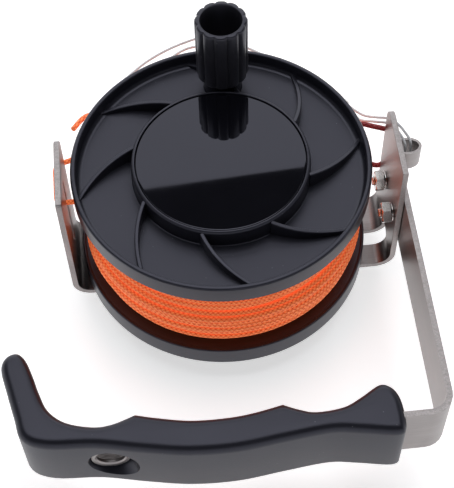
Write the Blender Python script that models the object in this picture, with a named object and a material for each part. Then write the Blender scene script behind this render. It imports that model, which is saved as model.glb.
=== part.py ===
"""Dive reel with a stainless frame, a plastic spool of braided line and a moulded hand grip.

The spool turns on a vertical axle, +Z up. The origin is the centre of the axle's lower end,
the strap and grip lie towards -Y, and the hand strap is on the +X side. Lengths are metres.
"""

import math

import bmesh
import bpy
from mathutils import Matrix, Vector

# Running and seating clearances
GAP = 0.0003
SHAFT_GAP = 0.0003
CUT_OVERRUN = 0.002
JOIN_DEPTH = 0.0003

# Axle and the stack of pieces on it
AXLE_RADIUS = 0.004
AXLE_END = 0.001
AXLE_HEX_FLATS = 0.013
AXLE_NUT_HEIGHT = 0.005
AXLE_HEAD_HEIGHT = 0.005
WASHER_RADIUS = 0.0085
WASHER_THICKNESS = 0.001
BUSH_RADIUS = 0.006
BUSH_FLANGE_RADIUS = 0.0085
BUSH_FLANGE_THICKNESS = 0.0012
BUSH_LENGTH = 0.010

# Frame bracket: one bent sheet
SHEET = 0.0025
BRACKET_WIDTH = 0.0365
BRACKET_CENTRE_Y = -0.0004
LEFT_WING_CLEARANCE = 0.0035
RIGHT_WING_CLEARANCE = 0.0101
WING_RISE = 0.0044
BEND_RADIUS = 0.006
WING_REAR_CORNER = 0.0055
WING_FRONT_CORNER = 0.0016
GUIDE_SLOT_WIDTH = 0.0042
GUIDE_SLOT_TOP = 0.006
GUIDE_SLOT_LENGTH = 0.041
GUIDE_SLOT_Y = 0.0005
NOTCH_WIDTH = 0.0077
NOTCH_CENTRE_Y = -0.0042
NOTCH_START_X = 0.056
NOTCH_TOP = 0.054
NOTCH_CORNER = 0.0030

# Spool
FLANGE_RADIUS = 0.0635
SPOOL_HEIGHT = 0.0602
FRONT_RIM_HEIGHT = 0.0094
BACK_RIM_HEIGHT = 0.0102
RIM_WALL = 0.0022
RIM_TAPER = 0.0006
BACK_WEB = 0.0025
BACK_LIP_WIDTH = 0.0010
BACK_LIP_HEIGHT = 0.0006
FLOOR_DROP_AT_RIM = 0.0065
FLOOR_DROP_AT_BOSS = 0.0071
CUP_DEPTH = 0.0104
FRONT_WEB = 0.0022
BARREL_RADIUS = 0.022
BARREL_INNER_RADIUS = 0.015
HUB_RADIUS = 0.010
HUB_TOP_DROP = 0.014
HUB_FOOT_RISE = 0.0009
CENTRE_HOLE_RADIUS = 0.012
ROUND_STEPS = 54

# Label boss and ribs of the front flange
BOSS_RADIUS = 0.0378
BOSS_LIP = 0.0015
BOSS_RISE = 0.0015
BOSS_LEDGE = 0.0018
LABEL_SEAT_DROP = 0.0005
LABEL_THICKNESS = 0.0012
LABEL_CHAMFER = 0.0003
RIB_COUNT = 8
RIB_WIDTH = 0.0018
RIB_BOSS_RISE = 0.0006
RIB_RIM_HEIGHT = 0.0012
RIB_START_DEGREES = 342.4
RIB_SWEEP_DEGREES = 26.5
RIB_STEPS = 7

# Screws that hold the front flange on the barrel
FLANGE_SCREW_COUNT = 3
FLANGE_SCREW_AXIS_RADIUS = 0.0185
FLANGE_SCREW_START_DEGREES = 22
SMALL_SCREW_RADIUS = 0.0015
SMALL_HEAD_RADIUS = 0.0028
SMALL_HEAD_HEIGHT = 0.0018
FLANGE_SCREW_REACH = 0.009
SCREW_STEPS = 12
WASHER_STEPS = 16

# Ratchet ring under the back flange
RATCHET_TEETH = 24
RATCHET_RADIUS = 0.0313
RATCHET_DEPTH = 0.0023
RATCHET_RING_INNER = 0.0265
RATCHET_FOOT_RISE = 0.0003
TOOTH_TIP_SHARE = 0.30
TOOTH_ROOT_SHARE = 0.54

# Crank knob
KNOB_RADIUS = 0.0113
KNOB_INSET = 0.016
KNOB_DEGREES = 83.5
KNOB_TOP_RISE = 0.0348
KNOB_FOOT_RISE = 0.0028
KNOB_BORE_RADIUS = 0.0087
KNOB_FLOOR_RISE = 0.0095
KNOB_LOBES = 12
KNOB_FLUTE = 0.0010
KNOB_CHAMFER = 0.0009
KNOB_NECK_RADIUS = 0.0082
KNOB_LOBE_STEPS = 4
KNOB_POST_BOSS_RADIUS = 0.0082
KNOB_POST_BOSS_DROP = 0.0014
KNOB_SCREW_RADIUS = 0.002
KNOB_SCREW_HEAD_RADIUS = 0.0040
KNOB_SCREW_HEAD_HEIGHT = 0.0024
KNOB_WASHER_RADIUS = 0.0052
KNOB_WASHER_THICKNESS = 0.0008

# Wound line
LINE_RADIUS = 0.00115
LINE_PITCH = 0.0029
WOUND_INSET = 0.0053
LOOP_STEPS = 24
CORE_STEPS = 32

# Hand strap
STRAP_THICKNESS = 0.0024
STRAP_WIDTH = 0.030
STRAP_TOP_DROP = 0.016
HAND_SPACE = 0.054
STRAP_CORNER_RADIUS = 0.008
STRAP_GRIP_END_X = -0.038
EYE_HALF_WIDTH = 0.0055
EYE_HALF_DEPTH = 0.0040
EYE_THICKNESS = 0.0012
EYE_HEIGHT = 0.0105
EYE_TAPER = 0.0025
EYE_CENTRE_Y = 0.0112
EYE_END_DEGREES = -120.0
BEND_STEPS = 6

# Bolts through strap and wing
BOLT_RADIUS = 0.002
BOLT_SPACING = 0.0174
BOLT_REAR_Y = 0.0048
BOLT_HEAD_RADIUS = 0.0038
BOLT_HEAD_HEIGHT = 0.0024
BOLT_WASHER_RADIUS = 0.0042
BOLT_WASHER_THICKNESS = 0.0006
BOLT_NUT_FLATS = 0.0085
BOLT_NUT_HEIGHT = 0.0040
BOLT_TAIL = 0.0012

# Hand grip
GRIP_LENGTH = 0.154
GRIP_LEFT_X = -0.095
GRIP_FRONT_COVER = 0.007
GRIP_REACH = 0.0525
GRIP_THICKNESS = 0.0334
GRIP_ROUNDING = 0.0035
GRIP_ROUND_STEPS = 2
EYELET_X = -0.0547
EYELET_RADIUS = 0.0056
EYELET_WALL = 0.0012
EYELET_FLANGE_RADIUS = 0.0079
EYELET_FLANGE_THICKNESS = 0.0012
EYELET_MOUTH_RADIUS = 0.0109
EYELET_SEAT_DEPTH = 0.0105
EYELET_LENGTH = 0.0035
EYELET_FLARE_DEPTH = 0.0035
GRIP_SCREW_HEAD_DEPTH = 0.0016

# Three-way lever and pawl
PIVOT_AXIS_RADIUS = 0.038
PIVOT_DEGREES = 183.0
STUD_RADIUS = 0.0025
STUD_HEAD_RADIUS = 0.0045
STUD_HEAD_HEIGHT = 0.0016
STUD_END = 0.0015
PAWL_THICKNESS = 0.003
PAWL_LIFT = 0.0033
PAWL_REACH = 0.010
PAWL_SPREAD = 0.020
SPACER_WALL = 0.0016
LEVER_THICKNESS = 0.002
LEVER_INSET = 0.0035
LEVER_LEAN_DEGREES = 101.7
LEVER_WIDTH = 0.010
LEVER_NUT_FLATS = 0.008
LEVER_NUT_HEIGHT = 0.003
BUTTON_RADIUS = 0.005
BUTTON_HEIGHT = 0.007
BUTTON_RIVET_RADIUS = 0.0015

# Loose line at the guide slot and at the strap's eye, and the thin wire loop
TAIL_DROP = 0.020
ROUTE_STEP = 0.010
WIRE_RADIUS = 0.0006
WIRE_SPACING = 0.0017
FERRULE_WALL = 0.0007
FERRULE_ROOM = 0.0005
FERRULE_LENGTH = 0.009
FERRULE_HEADING = Vector((0.64, -0.77, 0.0)).normalized()

# Places that follow from the flanges' size
LEFT_WING_X = -(FLANGE_RADIUS + LEFT_WING_CLEARANCE)
RIGHT_WING_X = FLANGE_RADIUS + RIGHT_WING_CLEARANCE
KNOB_AXIS_RADIUS = FLANGE_RADIUS - KNOB_INSET
WOUND_RADIUS = FLANGE_RADIUS - WOUND_INSET
LEVER_LENGTH = FLANGE_RADIUS - LEVER_INSET
STRAP_FRONT_Y = -(FLANGE_RADIUS + HAND_SPACE)
GRIP_FRONT_Y = STRAP_FRONT_Y - GRIP_FRONT_COVER
EYELET_SEAT_Y = GRIP_FRONT_Y + EYELET_SEAT_DEPTH
EYELET_REAR_Y = EYELET_SEAT_Y + EYELET_LENGTH

# Heights that follow from the stack on the axle
BASE_UNDERSIDE = AXLE_END + AXLE_NUT_HEIGHT + GAP + WASHER_THICKNESS + GAP
BASE_TOP = BASE_UNDERSIDE + SHEET
BUSH_FOOT = BASE_TOP + GAP + WASHER_THICKNESS + GAP
HUB_FOOT = BUSH_FOOT + BUSH_FLANGE_THICKNESS + GAP
SPOOL_FOOT = HUB_FOOT - HUB_FOOT_RISE
SPOOL_TOP = SPOOL_FOOT + SPOOL_HEIGHT
BACK_INNER_FACE = SPOOL_FOOT + BACK_RIM_HEIGHT - BACK_LIP_HEIGHT
BACK_UNDERSIDE = BACK_INNER_FACE - BACK_WEB
FRONT_UNDERSIDE = SPOOL_TOP - CUP_DEPTH - FRONT_WEB
HUB_TOP = SPOOL_TOP - HUB_TOP_DROP
STRAP_TOP = SPOOL_TOP - STRAP_TOP_DROP
STRAP_MIDDLE = STRAP_TOP - STRAP_WIDTH / 2
BRACKET_FRONT_Y = BRACKET_CENTRE_Y - BRACKET_WIDTH / 2
BRACKET_REAR_Y = BRACKET_CENTRE_Y + BRACKET_WIDTH / 2
STRAP_INNER_X = RIGHT_WING_X + SHEET + GAP
STRAP_OUTER_X = STRAP_INNER_X + STRAP_THICKNESS
TAIL_START = Vector((LEFT_WING_X, GUIDE_SLOT_Y, SPOOL_TOP - TAIL_DROP))
EYE_START = Vector((RIGHT_WING_X, EYE_CENTRE_Y, STRAP_MIDDLE))

# Routes of the loose line and the wire, in steps of ROUTE_STEP from the guide slot's middle at
# the wing's inner side, or from the strap's eye at the other wing
TAIL_ROUTE_SHARES = (
    (0.70, 0.00, 0.00), (0.30, 0.00, 0.00), (-0.06, 0.00, 0.00), (-0.23, 0.01, 0.00),
    (-0.38, 0.08, 0.00), (-0.44, 0.25, 0.01), (-0.44, 0.75, 0.07), (-0.44, 1.25, 0.12),
    (-0.44, 1.61, 0.15), (-0.36, 1.88, 0.15), (-0.13, 2.01, 0.17), (0.25, 2.07, 0.25),
    (0.64, 2.27, 0.27), (0.94, 2.87, 0.03), (1.14, 3.43, -0.37), (1.51, 3.99, -0.65),
    (1.73, 4.51, -0.72), (1.56, 4.97, -0.57), (1.18, 5.00, -0.33), (0.84, 4.60, -0.03),
    (0.41, 3.85, 0.20),
)
BIGHT_ROUTE_SHARES = (
    (-1.66, 1.31, 1.60), (-1.28, 1.26, 1.75), (-0.89, 1.17, 1.84), (-0.46, 1.00, 1.83),
    (-0.06, 0.89, 1.77), (0.22, 0.91, 1.61), (0.37, 0.98, 1.33), (0.41, 1.01, 0.85),
    (0.41, 1.01, 0.25), (0.38, 0.99, -0.30), (0.28, 0.95, -0.69), (0.06, 0.89, -0.89),
    (-0.24, 0.88, -0.84), (-0.58, 0.96, -0.67), (-1.02, 1.11, -0.46), (-1.51, 1.22, -0.30),
)
WIRE_SLEEVE_SHARES = (-1.61, 3.33, 1.00)
WIRE_EYE_SHARES = (
    (-0.66, 2.34, 1.04), (-0.23, 1.64, 1.65), (0.17, 1.02, 2.27), (0.54, 0.74, 2.21),
    (0.86, 0.46, 1.91), (1.09, 0.22, 1.55), (1.13, 0.06, 0.95), (1.12, 0.02, 0.35),
    (1.08, 0.02, 0.18), (0.92, 0.01, 0.18), (0.88, 0.00, 0.35), (0.87, 0.00, 0.95),
    (0.84, 0.14, 1.53), (0.64, 0.43, 1.85), (0.38, 0.75, 2.03), (0.06, 0.90, 2.14),
    (-0.38, 1.50, 1.55), (-0.82, 2.20, 0.91),
)
WIRE_BACK_SHARES = (
    (-2.26, 4.11, 0.90), (-3.66, 5.28, 0.85), (-5.26, 6.13, 0.85), (-6.76, 7.20, 0.93),
    (-8.21, 7.30, 0.95), (-9.76, 6.18, 0.90), (-11.21, 4.96, 0.80), (-11.81, 4.62, 0.78),
    (-12.04, 4.96, 0.85), (-11.21, 5.80, 0.88), (-9.96, 6.92, 0.85), (-8.49, 7.71, 0.85),
    (-7.01, 8.00, 0.90), (-5.61, 7.21, 0.95), (-4.16, 6.04, 1.00), (-2.36, 4.63, 1.00),
)

# Grip outline in plan, as shares of its length and reach, from the horn's tip round by the fingers
GRIP_OUTLINE_SHARES = (
    (0.040, 0.975), (0.062, 0.915), (0.080, 0.775), (0.095, 0.628), (0.117, 0.475),
    (0.160, 0.365), (0.226, 0.308), (0.275, 0.315), (0.333, 0.372), (0.385, 0.332),
    (0.470, 0.283), (0.560, 0.276), (0.628, 0.295), (0.702, 0.338), (0.742, 0.285),
    (0.784, 0.252), (0.852, 0.270), (0.900, 0.337), (0.948, 0.418), (0.975, 0.400),
    (0.993, 0.330), (1.000, 0.218), (0.998, 0.060), (0.975, 0.010), (0.890, 0.050),
    (0.815, 0.078), (0.700, 0.045), (0.580, 0.005), (0.460, 0.014), (0.345, 0.072),
    (0.230, 0.142), (0.110, 0.172), (0.050, 0.260), (0.032, 0.440), (0.014, 0.655),
    (0.000, 0.850), (0.012, 0.945),
)
GRIP_CUSPS = (8, 13)

# One half of the pawl, from the hub's inner side out to a tip and back to the middle behind
PAWL_OUTLINE_SHARES = (
    (0.490, 0.175), (0.500, 0.465), (0.660, 0.795), (0.943, 0.800), (0.943, 0.880),
    (0.690, 0.970), (0.100, 0.750), (-0.390, 0.200), (-0.550, 0.000),
)


def turned_outwards(points):
    """The outline's points in anticlockwise order."""
    area = 0.0
    for (x0, y0), (x1, y1) in zip(points, points[1:] + points[:1]):
        area += x0 * y1 - x1 * y0
    return points if area > 0 else points[::-1]


def material(name, colour, roughness, metallic):
    """A Principled material in one plain finish."""
    made = bpy.data.materials.get(name)
    if made is None:
        made = bpy.data.materials.new(name)
        made.use_nodes = True
        shader = made.node_tree.nodes["Principled BSDF"]
        shader.inputs["Base Color"].default_value = (*colour, 1.0)
        shader.inputs["Roughness"].default_value = roughness
        shader.inputs["Metallic"].default_value = metallic
        made.diffuse_color = (*colour, 1.0)
    return made


def steel():
    return material("stainless_steel", (0.47, 0.45, 0.44), 0.32, 1.0)


def bright_steel():
    return material("bright_steel", (0.62, 0.60, 0.58), 0.18, 1.0)


def black_plastic():
    return material("black_plastic", (0.022, 0.022, 0.026), 0.42, 0.0)


def grip_plastic():
    return material("grip_plastic", (0.035, 0.035, 0.042), 0.5, 0.0)


def gloss_label():
    return material("gloss_label", (0.008, 0.008, 0.010), 0.06, 0.0)


def orange_line():
    return material("orange_line", (0.86, 0.17, 0.05), 0.7, 0.0)


def bronze():
    return material("bush_plastic", (0.55, 0.53, 0.48), 0.45, 0.0)


def place(obj, finish):
    """Links the object, gives it its material and smooths its round sides."""
    if obj.name not in bpy.context.scene.collection.objects:
        bpy.context.scene.collection.objects.link(obj)
    obj.data.materials.clear()
    obj.data.materials.append(finish)
    if obj.type == "MESH":
        obj.data.shade_smooth()
        obj.data.set_sharp_from_angle(angle=math.radians(35))
    return obj


def mesh_object(name, bm):
    """A mesh object from a bmesh, with its faces turned outwards."""
    bmesh.ops.recalc_face_normals(bm, faces=bm.faces)
    data = bpy.data.meshes.new(name)
    bm.to_mesh(data)
    bm.free()
    return bpy.data.objects.new(name, data)


def add_ring_faces(bm, rings, closed_profile):
    """Joins neighbouring rings of equal length, and the last to the first on a closed profile."""
    count = len(rings)
    pairs = count if closed_profile else count - 1
    for i in range(pairs):
        low, high = rings[i], rings[(i + 1) % count]
        steps = max(len(low), len(high))
        for j in range(steps):
            k = (j + 1) % steps
            if len(low) == 1:
                bm.faces.new((low[0], high[k], high[j]))
            elif len(high) == 1:
                bm.faces.new((low[j], low[k], high[0]))
            else:
                bm.faces.new((low[j], low[k], high[k], high[j]))


def turned(name, profile, steps=ROUND_STEPS):
    """A body turned about Z from (radius, height) points. One that starts and ends at radius
    0 is solid; any other profile is closed and leaves a bore."""
    bm = bmesh.new()
    rings = []
    for radius, height in profile:
        if radius <= 0:
            rings.append([bm.verts.new((0, 0, height))])
            continue
        ring = []
        for j in range(steps):
            angle = math.tau * j / steps
            ring.append(bm.verts.new((radius * math.cos(angle), radius * math.sin(angle), height)))
        rings.append(ring)
    add_ring_faces(bm, rings, closed_profile=profile[0][0] > 0)
    return mesh_object(name, bm)


def solid_rod(name, radius, low, high, steps=SCREW_STEPS):
    return turned(name, [(0, low), (radius, low), (radius, high), (0, high)], steps)


def ring_body(name, inner, outer, low, high, steps=WASHER_STEPS):
    return turned(name, [(inner, low), (outer, low), (outer, high), (inner, high)], steps)


def prism(name, outline, low, high):
    """A flat outline pulled up from one height to another."""
    bm = bmesh.new()
    foot = [bm.verts.new((x, y, low)) for x, y in turned_outwards(list(outline))]
    face = bm.faces.new(foot)
    grown = bmesh.ops.extrude_face_region(bm, geom=[face])
    top = [item for item in grown["geom"] if isinstance(item, bmesh.types.BMVert)]
    bmesh.ops.translate(bm, verts=top, vec=(0, 0, high - low))
    return mesh_object(name, bm)


def box(name, low, high):
    corners = [(low[0], low[1]), (high[0], low[1]), (high[0], high[1]), (low[0], high[1])]
    return prism(name, corners, low[2], high[2])


def hexagon(flats):
    radius = flats / math.sqrt(3)
    return [
        (radius * math.cos(math.tau * (i + 0.5) / 6), radius * math.sin(math.tau * (i + 0.5) / 6))
        for i in range(6)
    ]


def as_cutter(obj):
    """Keeps a helper out of the renders and draws it as wire."""
    if obj.name not in bpy.context.scene.collection.objects:
        bpy.context.scene.collection.objects.link(obj)
    obj.hide_render = True
    obj.display_type = "WIRE"
    return obj


def boolean(obj, other, operation):
    as_cutter(other)
    modifier = obj.modifiers.new(operation.lower() + "_" + other.name, "BOOLEAN")
    modifier.operation = operation
    modifier.object = other
    modifier.solver = "EXACT"
    return obj


def cut(obj, other):
    return boolean(obj, other, "DIFFERENCE")


def join(obj, other):
    return boolean(obj, other, "UNION")


def lay_along_x(obj, x, y, z):
    """Turns a body made about Z so that its axis runs along X, and sets it in place."""
    obj.matrix_world = Matrix.Translation((x, y, z)) @ Matrix.Rotation(math.pi / 2, 4, "Y")
    return obj


def lay_along_y(obj, x, y, z):
    """Turns a body made about Z so that its top faces +Y, and sets it in place."""
    obj.matrix_world = Matrix.Translation((x, y, z)) @ Matrix.Rotation(-math.pi / 2, 4, "X")
    return obj


def at(obj, x, y, z=0.0):
    obj.location = (x, y, z)
    return obj


def smooth_route(points, per_span, closed=False):
    """Points on a smooth curve through the given ones, by Catmull and Rom's rule."""
    vectors = [Vector(p) for p in points]
    count = len(vectors)
    spans = count if closed else count - 1
    made = []
    for i in range(spans):
        if closed:
            a, b, c, d = (vectors[(i + k) % count] for k in (-1, 0, 1, 2))
        else:
            a, b, c, d = (vectors[min(max(i + k, 0), count - 1)] for k in (-1, 0, 1, 2))
        for j in range(per_span):
            t = j / per_span
            bend = (2 * a - 5 * b + 4 * c - d) * t * t + (3 * b - a - 3 * c + d) * t * t * t
            made.append(b + ((c - a) * t + bend) / 2)
    if not closed:
        made.append(vectors[-1])
    return made


def tube(name, points, radius, finish, sides_step, closed=False):
    """A round cord or wire as a POLY curve with a bevel and filled caps."""
    data = bpy.data.curves.new(name, "CURVE")
    data.dimensions = "3D"
    data.bevel_depth = radius
    data.bevel_resolution = sides_step
    data.use_fill_caps = True
    spline = data.splines.new("POLY")
    spline.points.add(len(points) - 1)
    for slot, point in zip(spline.points, points):
        slot.co = (*point, 1.0)
    spline.use_cyclic_u = closed
    obj = bpy.data.objects.new(name, data)
    return place(obj, finish)


def polar(radius, degrees, z=0.0):
    angle = math.radians(degrees)
    return Vector((radius * math.cos(angle), radius * math.sin(angle), z))


def bracket_section():
    """The sheet's section in X and Z: left wing down, across the base and up the right wing."""
    top = SPOOL_TOP + WING_RISE
    outer_radius = BEND_RADIUS + SHEET
    inner, outer = [(LEFT_WING_X, top)], [(LEFT_WING_X - SHEET, top)]
    centre_z = BASE_TOP + BEND_RADIUS
    for centre_x, start in ((LEFT_WING_X + BEND_RADIUS, 180), (RIGHT_WING_X - BEND_RADIUS, 270)):
        for i in range(BEND_STEPS + 1):
            angle = math.radians(start + 90 * i / BEND_STEPS)
            cosine, sine = math.cos(angle), math.sin(angle)
            inner.append((centre_x + BEND_RADIUS * cosine, centre_z + BEND_RADIUS * sine))
            outer.append((centre_x + outer_radius * cosine, centre_z + outer_radius * sine))
    inner.append((RIGHT_WING_X, top))
    outer.append((RIGHT_WING_X + SHEET, top))
    return inner, outer


def round_wing_corners(bm):
    """Rounds the rear top corner of each wing and takes the front one off a little."""
    top = SPOOL_TOP + WING_RISE
    for y, radius, steps in (
        (BRACKET_REAR_Y, WING_REAR_CORNER, 5),
        (BRACKET_FRONT_Y, WING_FRONT_CORNER, 2),
    ):
        edges = []
        for edge in bm.edges:
            ends = [vert.co for vert in edge.verts]
            at_top = all(abs(end.z - top) < GAP for end in ends)
            at_side = all(abs(end.y - y) < GAP for end in ends)
            if at_top and at_side:
                edges.append(edge)
        bmesh.ops.bevel(bm, geom=edges, offset=radius, segments=steps, profile=0.5, affect="EDGES")


def make_bracket():
    inner, outer = bracket_section()
    bm = bmesh.new()
    sides = []
    for y in (BRACKET_FRONT_Y, BRACKET_REAR_Y):
        loop_in = [bm.verts.new((x, y, z)) for x, z in inner]
        loop_out = [bm.verts.new((x, y, z)) for x, z in outer]
        sides.append((loop_in, loop_out))
    (front_in, front_out), (rear_in, rear_out) = sides
    for i in range(len(inner) - 1):
        bm.faces.new((front_in[i], front_in[i + 1], front_out[i + 1], front_out[i]))
        bm.faces.new((rear_in[i + 1], rear_in[i], rear_out[i], rear_out[i + 1]))
        bm.faces.new((front_in[i], rear_in[i], rear_in[i + 1], front_in[i + 1]))
        bm.faces.new((front_out[i + 1], rear_out[i + 1], rear_out[i], front_out[i]))
    for i in (0, -1):
        bm.faces.new((front_in[i], front_out[i], rear_out[i], rear_in[i]))
    round_wing_corners(bm)
    bracket = place(mesh_object("frame_bracket", bm), steel())
    cut(bracket, guide_slot_cutter())
    cut(bracket, notch_cutter())
    axle_hole = solid_rod(
        "cut_axle_hole", AXLE_RADIUS + SHAFT_GAP, BASE_UNDERSIDE - CUT_OVERRUN,
        BASE_TOP + CUT_OVERRUN, WASHER_STEPS,
    )
    cut(bracket, axle_hole)
    stud_hole = solid_rod(
        "cut_stud_hole", STUD_RADIUS + SHAFT_GAP, BASE_UNDERSIDE - CUT_OVERRUN,
        BASE_TOP + CUT_OVERRUN, WASHER_STEPS,
    )
    pivot = polar(PIVOT_AXIS_RADIUS, PIVOT_DEGREES)
    cut(bracket, at(stud_hole, pivot.x, pivot.y))
    for name, y in bolt_places():
        hole = solid_rod(
            "cut_wing_hole_" + name, BOLT_RADIUS + SHAFT_GAP, -CUT_OVERRUN, SHEET + CUT_OVERRUN,
            WASHER_STEPS,
        )
        cut(bracket, lay_along_x(hole, RIGHT_WING_X, y, STRAP_MIDDLE))
    return bracket


def guide_slot_cutter():
    """A long slot with round ends in the left wing, for the line to pass."""
    half = GUIDE_SLOT_WIDTH / 2
    top = SPOOL_TOP - GUIDE_SLOT_TOP - half
    low = top - GUIDE_SLOT_LENGTH + GUIDE_SLOT_WIDTH
    outline = []
    for centre, start in ((top, 0), (low, 180)):
        for i in range(BEND_STEPS + 1):
            angle = math.radians(start + 180 * i / BEND_STEPS)
            outline.append((half * math.cos(angle), centre + half * math.sin(angle)))
    cutter = prism("cut_guide_slot", outline, -CUT_OVERRUN, SHEET + CUT_OVERRUN)
    stand = Matrix(((0, 0, -1, LEFT_WING_X), (1, 0, 0, GUIDE_SLOT_Y), (0, 1, 0, 0), (0, 0, 0, 1)))
    cutter.data.transform(stand)
    flip_to_outward(cutter)
    return cutter


def flip_to_outward(obj):
    bm = bmesh.new()
    bm.from_mesh(obj.data)
    bmesh.ops.recalc_face_normals(bm, faces=bm.faces)
    bm.to_mesh(obj.data)
    bm.free()


def notch_cutter():
    """The open notch across the right-hand bend, with round corners in base and wing."""
    low = (NOTCH_START_X, NOTCH_CENTRE_Y - NOTCH_WIDTH / 2, BASE_UNDERSIDE - CUT_OVERRUN)
    high = (
        RIGHT_WING_X + SHEET + CUT_OVERRUN, NOTCH_CENTRE_Y + NOTCH_WIDTH / 2, SPOOL_TOP - NOTCH_TOP,
    )
    cutter = box("cut_notch", low, high)
    bm = bmesh.new()
    bm.from_mesh(cutter.data)
    edges = []
    for edge in bm.edges:
        a, b = (vert.co for vert in edge.verts)
        upright = abs(a.x - b.x) < GAP and abs(a.y - b.y) < GAP and abs(a.x - low[0]) < GAP
        along_top = abs(a.z - high[2]) < GAP and abs(b.z - high[2]) < GAP and abs(a.y - b.y) < GAP
        if upright or along_top:
            edges.append(edge)
    bmesh.ops.bevel(bm, geom=edges, offset=NOTCH_CORNER, segments=4, profile=0.5, affect="EDGES")
    bmesh.ops.recalc_face_normals(bm, faces=bm.faces)
    bm.to_mesh(cutter.data)
    bm.free()
    return cutter


def bolt_places():
    return (("rear", BOLT_REAR_Y), ("front", BOLT_REAR_Y - BOLT_SPACING))


def make_axle_stack():
    """Axle bolt, its nut and washers, and the two flanged bushes in the hub."""
    head_foot = HUB_TOP + GAP + BUSH_FLANGE_THICKNESS + GAP + WASHER_THICKNESS + GAP
    axle = prism("axle_bolt", hexagon(AXLE_HEX_FLATS), head_foot, head_foot + AXLE_HEAD_HEIGHT)
    place(axle, bright_steel())
    shaft = solid_rod("axle_shaft", AXLE_RADIUS, 0.0, head_foot + JOIN_DEPTH, WASHER_STEPS)
    join(axle, shaft)
    bore = AXLE_RADIUS + SHAFT_GAP
    nut = prism("axle_nut", hexagon(AXLE_HEX_FLATS), AXLE_END, AXLE_END + AXLE_NUT_HEIGHT)
    place(nut, bright_steel())
    nut_bore = solid_rod("cut_axle_nut", bore, -CUT_OVERRUN, BASE_TOP, WASHER_STEPS)
    cut(nut, nut_bore)
    washers = (
        ("base_washer", AXLE_END + AXLE_NUT_HEIGHT + GAP),
        ("thrust_washer", BASE_TOP + GAP),
        ("head_washer", HUB_TOP + GAP + BUSH_FLANGE_THICKNESS + GAP),
    )
    for name, foot in washers:
        washer = ring_body(name, bore, WASHER_RADIUS, foot, foot + WASHER_THICKNESS)
        place(washer, bright_steel())
    sleeve = BUSH_RADIUS
    flange = BUSH_FLANGE_RADIUS
    lower = [
        (bore, BUSH_FOOT), (flange, BUSH_FOOT), (flange, BUSH_FOOT + BUSH_FLANGE_THICKNESS),
        (sleeve, BUSH_FOOT + BUSH_FLANGE_THICKNESS), (sleeve, BUSH_FOOT + BUSH_LENGTH),
        (bore, BUSH_FOOT + BUSH_LENGTH),
    ]
    place(turned("back_bush", lower, WASHER_STEPS), bronze())
    top = HUB_TOP + GAP + BUSH_FLANGE_THICKNESS
    upper = [
        (bore, top), (bore, top - BUSH_LENGTH), (sleeve, top - BUSH_LENGTH),
        (sleeve, HUB_TOP + GAP), (flange, HUB_TOP + GAP), (flange, top),
    ]
    place(turned("front_bush", upper, WASHER_STEPS), bronze())


def make_spool_body():
    """Back flange, barrel and hub in one moulding, with the ratchet ring on its underside."""
    barrel_top = FRONT_UNDERSIDE - GAP
    bore = BUSH_RADIUS + GAP
    rim_inner = FLANGE_RADIUS - RIM_WALL
    lip_inner = FLANGE_RADIUS - BACK_LIP_WIDTH
    rim_top = SPOOL_FOOT + BACK_RIM_HEIGHT
    profile = [
        (bore, HUB_FOOT), (HUB_RADIUS, HUB_FOOT), (HUB_RADIUS, BACK_UNDERSIDE),
        (rim_inner, BACK_UNDERSIDE), (rim_inner + RIM_TAPER, SPOOL_FOOT),
        (FLANGE_RADIUS - RIM_TAPER, SPOOL_FOOT), (FLANGE_RADIUS, SPOOL_FOOT + RIM_TAPER),
        (FLANGE_RADIUS, rim_top - RIM_TAPER), (FLANGE_RADIUS - RIM_TAPER / 2, rim_top),
        (lip_inner, rim_top), (lip_inner - BACK_LIP_HEIGHT, BACK_INNER_FACE),
        (BARREL_RADIUS, BACK_INNER_FACE), (BARREL_RADIUS, barrel_top),
        (BARREL_INNER_RADIUS, barrel_top), (BARREL_INNER_RADIUS, BACK_INNER_FACE + BACK_WEB),
        (HUB_RADIUS, BACK_INNER_FACE + BACK_WEB), (HUB_RADIUS, HUB_TOP), (bore, HUB_TOP),
    ]
    spool = place(turned("spool_body", profile), black_plastic())
    join(spool, ratchet_ring())
    for i in range(FLANGE_SCREW_COUNT):
        cut(spool, screw_hole("cut_barrel_hole_" + str(i + 1), i, FRONT_UNDERSIDE))
    return spool


def flange_screw_spot(index):
    degrees = FLANGE_SCREW_START_DEGREES + 360 * index / FLANGE_SCREW_COUNT
    return polar(FLANGE_SCREW_AXIS_RADIUS, degrees)


def screw_hole(name, index, top):
    spot = flange_screw_spot(index)
    low = FRONT_UNDERSIDE - FLANGE_SCREW_REACH - CUT_OVERRUN
    hole = solid_rod(name, SMALL_SCREW_RADIUS + SHAFT_GAP, low, top + CUT_OVERRUN * 2)
    return at(hole, spot.x, spot.y)


def ratchet_outline():
    """The toothed outer line. Gaps stand where the pawl's two tips come in."""
    pitch = 360 / RATCHET_TEETH
    root = RATCHET_RADIUS - RATCHET_DEPTH
    points = []
    for i in range(RATCHET_TEETH):
        middle = PIVOT_DEGREES - 30 + pitch * (i + 0.5)
        for radius, share in (
            (root, -TOOTH_ROOT_SHARE / 2), (RATCHET_RADIUS, -TOOTH_TIP_SHARE / 2),
            (RATCHET_RADIUS, TOOTH_TIP_SHARE / 2), (root, TOOTH_ROOT_SHARE / 2),
        ):
            spot = polar(radius, middle + pitch * share)
            points.append((spot.x, spot.y))
    return points


def ratchet_ring():
    foot = SPOOL_FOOT + RATCHET_FOOT_RISE
    ring = prism("ratchet_ring", ratchet_outline(), foot, BACK_UNDERSIDE + JOIN_DEPTH)
    hole = solid_rod(
        "cut_ratchet_ring", RATCHET_RING_INNER, foot - CUT_OVERRUN, BACK_UNDERSIDE + CUT_OVERRUN,
        RATCHET_TEETH,
    )
    return cut(ring, hole)


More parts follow.
